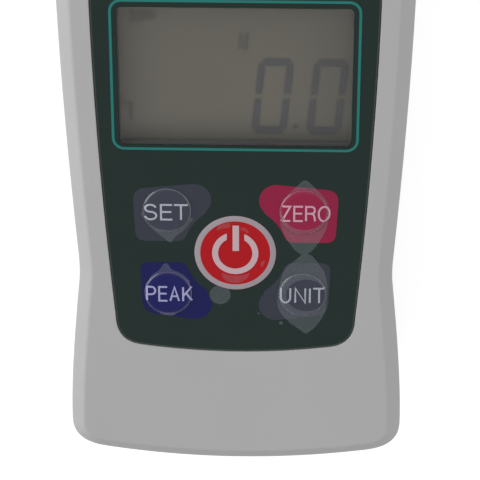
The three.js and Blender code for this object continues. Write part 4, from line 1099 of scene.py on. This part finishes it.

# Edge ink: the thin pale line where the film is drawn over a small key's edge, glossier than the rest, paled
# partly by painted sheen
edge_sheen_codes = {"set": "60636d", "zero": "8c4560", "peak": "4e4f7c", "unit": "60636d"}
edge_profile = circle(edge_radius, (small_key - edge_radius, film_z + edge_rise), 12)
for key, code in edge_sheen_codes.items():
    painted_sheen_ink = ink(f"painted_sheen_ink_{key}", code, code, roughness=0.15, specular=0.7)
    edge = piece(f"{key}_key_edge", turned(edge_profile, keys[key][:2], 96, ends=False), painted_sheen_ink)
    smooth(edge, 60)
    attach(edge, f"{key}_button")

red_ink = ink("red_ink", "a00d15", "a60f17")
ring_ink = ink("pale_ring_ink", "948a90", "9a9096")
sign_ink = ink("pale_sign_ink", "b69da3", "bba4a9")
x, y, radius = keys["power"]
power_face = [(radius - inward, power_z + rise) for inward, rise in power_edge]
power_face += [(r, power_z) for r in (ring_inside, 6, 3, 0.3)]
power_cap = piece("power_key_cap", turned(key_profile(radius, power_face), (x, y), 128), ring_ink, red_ink)
give_second(power_cap, lambda spot: math.hypot(spot.x - x, spot.y - y) < ring_inside and spot.z > film_z)
smooth(power_cap)
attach(power_cap, "power_button")
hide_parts("power_key")

# The sign's ring runs round its outer edge from the gap's left side, and back along its inner edge
sign = []
for radius, way in ((sign_radii[1], 1), (sign_radii[0], -1)):
    left, right = (math.degrees(math.asin(side / radius)) for side in sign_gap)
    start, end = (90 - left, 450 - right)[::way]
    sign += arc_points(x, y, radius, radius, start, end, 64)
left, right, low, high = sign_bar
bar = [(x + left, y + low), (x + right, y + low), (x + right, y + high), (x + left, y + high)]
power_sign = piece("power_sign", flat_shapes([sign, bar], *sign_z), sign_ink)
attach(power_sign, "power_button")


# WORDS ON THE KEYS
# SET, ZERO, PEAK and UNIT, screen printed in white under the film. What crosses a key's edge goes on over
# the field. Each letter is a few strokes, drawn in a square of side 1 and stretched to its place.
stroke_width = 0.38
cell_length = 0.16
word_thickness = 0.04
word_lift = 0.045
stroke_lift = 0.003
glyphs = {
    "S": [arc_points(0.5, 0.76, 0.46, 0.24, 12, 262) + arc_points(0.5, 0.26, 0.5, 0.26, 82, -168)],
    "E": [[(1, 1), (0, 1), (0, 0), (1, 0)], [(0, 0.52), (0.92, 0.52)]],
    "T": [[(0, 1), (1, 1)], [(0.5, 1), (0.5, 0)]],
    "Z": [[(0.02, 1), (0.98, 1), (0, 0), (1, 0)]],
    "R": [
        [(0, 0), (0, 1), (0.6, 1)] + arc_points(0.6, 0.76, 0.36, 0.24, 90, -90)[1:] + [(0.1, 0.52)],
        [(0.5, 0.52)] + arc_points(0.6, 0.3, 0.32, 0.2, 70, 0, 6) + [(1, 0)],
    ],
    "O": [arc_points(0.5, 0.5, 0.5, 0.5, 90, 450, 32)],
    "P": [[(0, 0), (0, 1), (0.55, 1)] + arc_points(0.55, 0.73, 0.45, 0.27, 90, -90)[1:] + [(0.11, 0.46)]],
    "A": [[(0, 0), (0.5, 1), (1, 0)], [(0.17, 0.34), (0.83, 0.34)]],
    "K": [[(0, 0), (0, 1)], [(0.96, 1), (0, 0.36)], [(0.34, 0.6), (1, 0)]],
    "U": [[(0, 1), (0, 0.36)] + arc_points(0.5, 0.36, 0.5, 0.36, 180, 360)[1:] + [(1, 1)]],
    "N": [[(0, 0), (0, 1), (1, 0), (1, 1)]],
    "I": [[(0, 0), (0, 1)]],
}
words = {
    "set": ("SET", [(-17.45, -14.85), (-14.33, -11.8), (-11.85, -8.8)], (6.95, 10.4)),
    "zero": ("ZERO", [(8.75, 10.72), (11.07, 13.1), (13.32, 15.43), (15.72, 18.17)], (7, 10.38)),
    "peak": ("PEAK", [(-17.38, -15.35), (-14.98, -13.02), (-12.83, -10.75), (-10.32, -8.25)], (-10.5, -7.12)),
    "unit": ("UNIT", [(8.66, 10.88), (11.48, 13.78), (14.3, 14.7), (14.92, 17.65)], (-10.52, -7.02)),
}
# White ink under the film: pale, and tinged by the colour that shows through it
word_inks = {
    "set": ink("white_ink_on_slate", "9ca1ab", "a4a9b3"),
    "zero": ink("white_ink_on_crimson", "b88fa0", "bf98a8"),
    "peak": ink("white_ink_on_navy", "9495b8", "9c9dc0"),
    "unit": ink("white_ink_on_unit_key", "969ba5", "9ea3ad"),
}


def ribbon_cells(points, width):
    """Cuts a stroke into short cells, each with its four corners."""
    cuts = []
    for i, point in enumerate(points):
        here = Vector(point)
        into = (here - Vector(points[i - 1])).normalized() if i else None
        out = (Vector(points[i + 1]) - here).normalized() if i + 1 < len(points) else None
        into, out = into or out, out or into
        normal = Vector((-into.y - out.y, into.x + out.x)).normalized()
        reach = min(width, width / 2 / max(0.3, normal.dot(Vector((-into.y, into.x)))))
        cuts.append((here + normal * reach, here - normal * reach))
    cells = []
    for (a, b), (c, d) in zip(cuts, cuts[1:]):
        count = max(1, round(((a + b) / 2 - (c + d) / 2).length / cell_length))
        for s, t in ((k / count, (k + 1) / count) for k in range(count)):
            cells.append((a.lerp(c, s), b.lerp(d, s), b.lerp(d, t), a.lerp(c, t)))
    return cells


def print_word(key):
    """The strokes of a word, on the key inside its edge and on the film outside it. Each stroke lies a little
    over the last, so that no two are level where they cross."""
    x, y, radius = keys[key]
    text, spans, (low, high) = words[key]
    parts = {"key": bmesh.new(), "film": bmesh.new()}
    half = stroke_width / 2
    height = high - low - stroke_width
    lift = word_lift
    for letter, (left, right) in zip(text, spans):
        width = right - left - stroke_width
        for stroke in glyphs[letter]:
            lift += stroke_lift
            line = [(left + half + u * width, power_y + low + half + v * height) for u, v in stroke]
            for cell in ribbon_cells(line, stroke_width):
                reaches = [(corner - Vector((x, y))).length for corner in cell]
                mesh = parts["key" if max(reaches) < radius + overlay_gap else "film"]
                levels = [key_height(reach) if reach < radius else film_z for reach in reaches]
                mesh.faces.new([mesh.verts.new((*corner, z + lift)) for corner, z in zip(cell, levels)])
    for mesh in parts.values():
        bmesh.ops.remove_doubles(mesh, verts=mesh.verts, dist=0.001)
        bmesh.ops.recalc_face_normals(mesh, faces=mesh.faces)
        for face in mesh.faces:
            if face.normal.z < 0:
                face.normal_flip()
    return parts


for key in words:
    for place, mesh in print_word(key).items():
        if not mesh.faces:
            mesh.free()
            continue
        word = piece(f"{key}_word_on_{place}", mesh, word_inks[key])
        word.modifiers.new("thickness", "SOLIDIFY").thickness = word_thickness / 1000
        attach(word, f"{key}_button" if place == "key" else "casing")


# BLISTERS, SCUFFS AND DUST
# Where the film has come off its backing round the small keys, thin pockets of air show as milky patches:
# long ones over ZERO and UNIT, small peaks at SET and PEAK, and a round one beside the power key.
air_z = (film_z + 0.02, film_z + 0.03)
air_on_key = (0.006, 0.016)
scuff_z = (power_z + 0.01, power_z + 0.02)
dust_z = (glass_z[1] - 0.01, glass_z[1] + 0.02)


def hazy_air(name, least, most):
    """Air under film: clear, but for a share of thin grey haze that drifts from least to most."""
    material, tree = start_material(name)
    place = add(tree, "TexCoord").outputs["Object"]
    cloud = add(tree, "TexNoise", {"Vector": place}, {"Scale": 1000 / 2, "Detail": 2}).outputs["Fac"]
    share = add(tree, "MapRange", {"Value": cloud}, {"To Min": least, "To Max": most}).outputs["Result"]
    clear = add(tree, "BsdfTransparent").outputs[0]
    haze = add(tree, "BsdfDiffuse", values={"Color": linear("9ea8b0")}).outputs[0]
    surface = add(tree, "MixShader", {0: share, 1: clear, 2: haze})
    add(tree, "OutputMaterial", {"Surface": surface.outputs[0]})
    return material


def flowing(points, count=3):
    """A smooth closed line through points, which are placed from the power key."""
    spots = [Vector(point) for point in points]
    line = []
    for i in range(len(spots)):
        a, b, c, d = (spots[(i + k) % len(spots)] for k in (-1, 0, 1, 2))
        for t in (k / count for k in range(count)):
            squares, cubes = 2 * a - 5 * b + 4 * c - d, 3 * b - a - 3 * c + d
            line.append((2 * b + (c - a) * t + squares * t * t + cubes * t ** 3) / 2)
    return [(point.x, power_y + point.y) for point in line]


def disc(radius, x, y, height=None):
    """A round or oval outline, placed from the power key."""
    return [(a, b * (height or radius) / radius + power_y + y) for a, b in circle(radius, (x, 0), 96)]


trapped_air = hazy_air("air_under_film", 0.063, 0.082)
# Thicker haze, for PEAK's lower blister only: partly air under the film, partly a painted highlight of the
# key's lower edge
air_with_painted_sheen = hazy_air("thicker_air_under_film", 0.1, 0.125)
faint_air = hazy_air("faint_scuff_in_film", 0.02, 0.09)
zero_blister = flowing([
    (13.23, 15.5), (12.55, 15.16), (11.78, 14.27), (10.76, 13.25), (9.83, 12.22), (9.15, 10.92), (8.64, 9.2),
    (8.55, 7.87), (8.6, 6.53), (9.03, 5), (9.92, 3.08), (11.34, 0.97), (12.4, 0.05), (13.19, -0.18),
    (13.97, 0.03), (15.17, 1.22), (16.53, 3.37), (17.37, 5.31), (17.75, 7.04), (17.98, 8.96), (17.7, 10.47),
    (17.07, 11.79), (16.02, 12.91), (14.97, 14.1), (13.92, 15.15),
])
unit_blister = flowing([
    (13.53, -0.05), (12.75, -0.22), (11.71, -1.24), (10.15, -2.63), (9.12, -4.41), (8.55, -6.98),
    (8.24, -8.97), (8.2, -10.16), (8.39, -11.76), (9.2, -13.34), (10.81, -15.13), (12.43, -16.31),
    (13.78, -17.35), (14.75, -16.67), (15.62, -15.85), (16.84, -14.02), (17.52, -12.41), (17.78, -10.61),
    (17.9, -8.42), (17.8, -6.44), (17.3, -4.09), (16.28, -2.34), (15.21, -0.85), (14.41, -0.15),
])
set_blister = flowing([
    (-17.75, 8.56), (-17.5, 7.03), (-16.57, 5.6), (-15.54, 4.6), (-14.86, 3.99), (-13.65, 3.04),
    (-13.05, 2.32), (-12.52, 2.15), (-11.99, 2.5), (-11.54, 3.3), (-10.66, 4.05), (-9.6, 5.03), (-8.6, 6.39),
    (-8.4, 7.5), (-13, 8.5),
])
peak_blister = flowing([
    (-17.3, -7.32), (-16.95, -6.2), (-16.1, -4.95), (-14.89, -4), (-14.35, -3.32), (-13.9, -2.6),
    (-13.46, -2.4), (-13.02, -2.56), (-12.59, -3.3), (-11.98, -3.85), (-10.6, -4.5), (-9.5, -5.4),
    (-8.9, -6.6), (-13, -7),
])
peak_lower = flowing([
    (-16.1, -12.11), (-14.87, -13.16), (-13.99, -13.6), (-12.84, -13.78), (-11.85, -13.57), (-11.31, -13.1),
    (-9.88, -11.97), (-13, -11),
])

# Each blister with the part of the key under it that stays clear
blisters = {
    "zero": (zero_blister, disc(4.5, 13.2, 9.75)),
    "unit": (unit_blister, disc(3.9, 13.75, -8.75, 3.42)),
    "set": (set_blister, disc(7, -12.9, 11.9)),
    "peak": (peak_blister, disc(4.8, -13.05, -8.8)),
    "peak_lower": (peak_lower, disc(12, -13, -1)),
    "round": (disc(2.04, -2.95, -9.05), None),
    "speck": (disc(0.4, 8.95, -15.06), None),
    "small_speck": (disc(0.2, 4.54, -13.02), None),
}
for name, (points, clear_disc) in blisters.items():
    # PEAK's lower blister takes the thicker haze, which is partly a painted highlight
    air = air_with_painted_sheen if name == "peak_lower" else trapped_air
    blister = piece(f"{name}_blister", slab(points, *air_z), air)
    key = name.split("_")[0] if clear_disc else "power"
    x, y, radius = keys[key]
    change(blister, "DIFFERENCE", rod(radius + overlay_gap, film_z - over, film_z + over, (x, y), 96))
    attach(blister, "casing")
    if clear_disc and name != "peak":
        low, high = air_on_key
        heights = [(r / 100, key_height(r / 100)) for r in range(30, 462, 9)]
        haze_profile = [(r, z + low) for r, z in heights] + [(r, z + high) for r, z in reversed(heights)]
        haze = piece(f"{name}_blister_on_key", turned(haze_profile, (x, y), 96, ends=False), air)
        change(haze, "INTERSECT", slab(points, film_z - over, film_z + over))
        change(haze, "DIFFERENCE", slab(clear_disc, film_z - 2 * over, film_z + 2 * over))
        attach(haze, f"{key}_button")

# Two specks of dust on the display, under the window
specks = [circle(0.17, (x, power_y + y), 16) for x, y in ((-4.33, 40.02), (-4.13, 32.9))]
dust = piece("display_dust", flat_shapes(specks, *dust_z), trapped_air)
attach(dust, "casing")

# Scuffs on the power key: faint pale arcs in the film round the sign, most where fingers have worn it
scuffs = {
    "lower": [(-2.6, -4.35), (-0.9, -4.75), (0.9, -4.8), (2.7, -4.3), (2.3, -5.3), (0.9, -6.3), (-0.6, -6.4),
              (-2.1, -5.7)],
    "upper": [(-3.5, 4.8), (-2.5, 5.2), (-1.1, 5.5), (-1.1, 6.4), (-2.2, 6.2), (-3.3, 5.6)],
    # The right arc is partly a painted highlight, by the sign's upper right
    "right": [(1.1, 4.9), (1.7, 4.7), (2.5, 4.3), (2.5, 4.8), (1.8, 5.4), (1.1, 5.6)],
    "side": [(4.95, -2.2), (5.35, -1.6), (5.75, -1.5), (5.5, -2.4), (5.1, -2.8)],
}
for name, points in scuffs.items():
    scuff = piece(f"power_key_scuff_{name}", slab(flowing(points), *scuff_z), faint_air)
    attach(scuff, "power_button")


# CASE SCREWS
# Four cross-recessed steel screws, zinc plated, sunk into the back of the rear cover.
screw_height = 2
screw_point = (0.6, 0.8)
screw_end = 26.9
cross_width = 0.75
cross_length = 2.9
cross_depth = 1.1
bottom, seat = case_screw_seat - screw_height, case_screw_seat
screw_profile = [
    (case_screw_head - 1.1, bottom), (case_screw_head - 0.5, bottom + 0.15),
    (case_screw_head - 0.12, bottom + 0.5), (case_screw_head, bottom + 0.9), (case_screw_head, seat - 0.1),
    (case_screw_head - 0.1, seat), (case_screw_radius, seat), (case_screw_radius, screw_end - screw_point[1]),
    (screw_point[0], screw_end),
]
for i, (x, y) in enumerate(case_screws):
    screw = piece(f"case_screw_{i + 1}_turning", turned(screw_profile, (x, y)), zinc_plate)
    for across, along in ((cross_length / 2, cross_width / 2), (cross_width / 2, cross_length / 2)):
        cross = block(x - across, x + across, y - along, y + along, bottom - over, bottom + cross_depth)
        change(screw, "DIFFERENCE", cross)
    smooth(screw)
    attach(screw, "casing")
    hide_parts(f"case_screw_{i + 1}")


# FLOOR, LIGHT AND CAMERA
# A plain white table in an evenly white room, a little brighter overhead. A broad soft lamp stands to the
# upper left and a weaker one opposite. The camera has the height and the turn of the photograph.
table_half = 2000
table_glow = 0.76
room_level = (0.7, 0.75)
# Each lamp's place and side in millimetres, and its power in watts
lamps = {"left": ((-700, 200, 250), 620, 5.2), "right": ((850, 120, 170), 620, 2.3)}
camera_tilt = math.radians(25.6)
camera_turn = math.radians(1.605)
camera_aim = (0.92, 49.8, 35.4)
camera_distance = 383.8
camera_lens = 150


def seen_plainly(tree):
    """1 where the camera, a mirror or a glass looks, and 0 where light is being gathered."""
    ways = add(tree, "LightPath").outputs
    seen = ways["Is Camera Ray"]
    for other in ("Is Glossy Ray", "Is Transmission Ray"):
        seen = add(tree, "Math", {0: seen, 1: ways[other]}, operation="MAXIMUM").outputs[0]
    return seen


# White table: matt, and lit up to the white of the room wherever it is seen
table_white, tree = start_material("white_table")
matt = add(tree, "BsdfDiffuse", values={"Color": linear("a6a6a6")}).outputs[0]
glow = add(tree, "Emission", values={"Strength": table_glow})
lit = add(tree, "AddShader", {0: matt, 1: glow.outputs[0]}).outputs[0]
surface = add(tree, "MixShader", {0: seen_plainly(tree), 1: matt, 2: lit})
add(tree, "OutputMaterial", {"Surface": surface.outputs[0]})
mesh = bmesh.new()
sides = ((-1, -1), (1, -1), (1, 1), (-1, 1))
mesh.faces.new([mesh.verts.new((x * table_half, y * table_half - base_y, 0)) for x, y in sides])
table = piece("table", mesh, table_white)

world = bpy.data.worlds.new("studio")
world.use_nodes = True
tree = world.node_tree
tree.nodes.clear()
height = add(tree, "SeparateXYZ", {"Vector": add(tree, "TexCoord").outputs["Generated"]}).outputs["Z"]
span = {"To Min": room_level[0], "To Max": room_level[1]}
level = add(tree, "MapRange", {"Value": height}, span).outputs["Result"]
room = add(tree, "Background", {"Strength": level}, {"Color": linear("ffffff")}).outputs[0]
backdrop = add(tree, "Background", values={"Color": linear("ffffff"), "Strength": 1}).outputs[0]
surface = add(tree, "MixShader", {0: seen_plainly(tree), 1: room, 2: backdrop})
add(tree, "OutputWorld", {"Surface": surface.outputs[0]})
bpy.context.scene.world = world

for name, (spot, size, watts) in lamps.items():
    light = bpy.data.lights.new(name, "AREA")
    light.size = size / 1000
    light.energy = watts
    lamp = bpy.data.objects.new(name, light)
    lamp.location = Vector(spot) / 1000
    lamp.rotation_euler = (-Vector(spot)).to_track_quat("-Z", "Y").to_euler()
    bpy.context.collection.objects.link(lamp)

level = math.cos(camera_turn)
back = Vector((math.sin(camera_turn), math.sin(camera_tilt) * level, math.cos(camera_tilt) * level))
up = (Vector((0, 1, 0)) - back * back.y).normalized()
aim = Vector((camera_aim[0], camera_aim[1] + base_y, camera_aim[2])) / 1000
place = aim + back * (camera_distance / 1000)
lens = bpy.data.cameras.new("camera")
lens.lens = camera_lens
lens.sensor_width = 36
camera = bpy.data.objects.new("camera", lens)
camera.matrix_world = Matrix.Translation(place) @ Matrix((up.cross(back), up, back)).transposed().to_4x4()
bpy.context.collection.objects.link(camera)
bpy.context.scene.camera = camera

bpy.context.scene.view_settings.view_transform = "Standard"
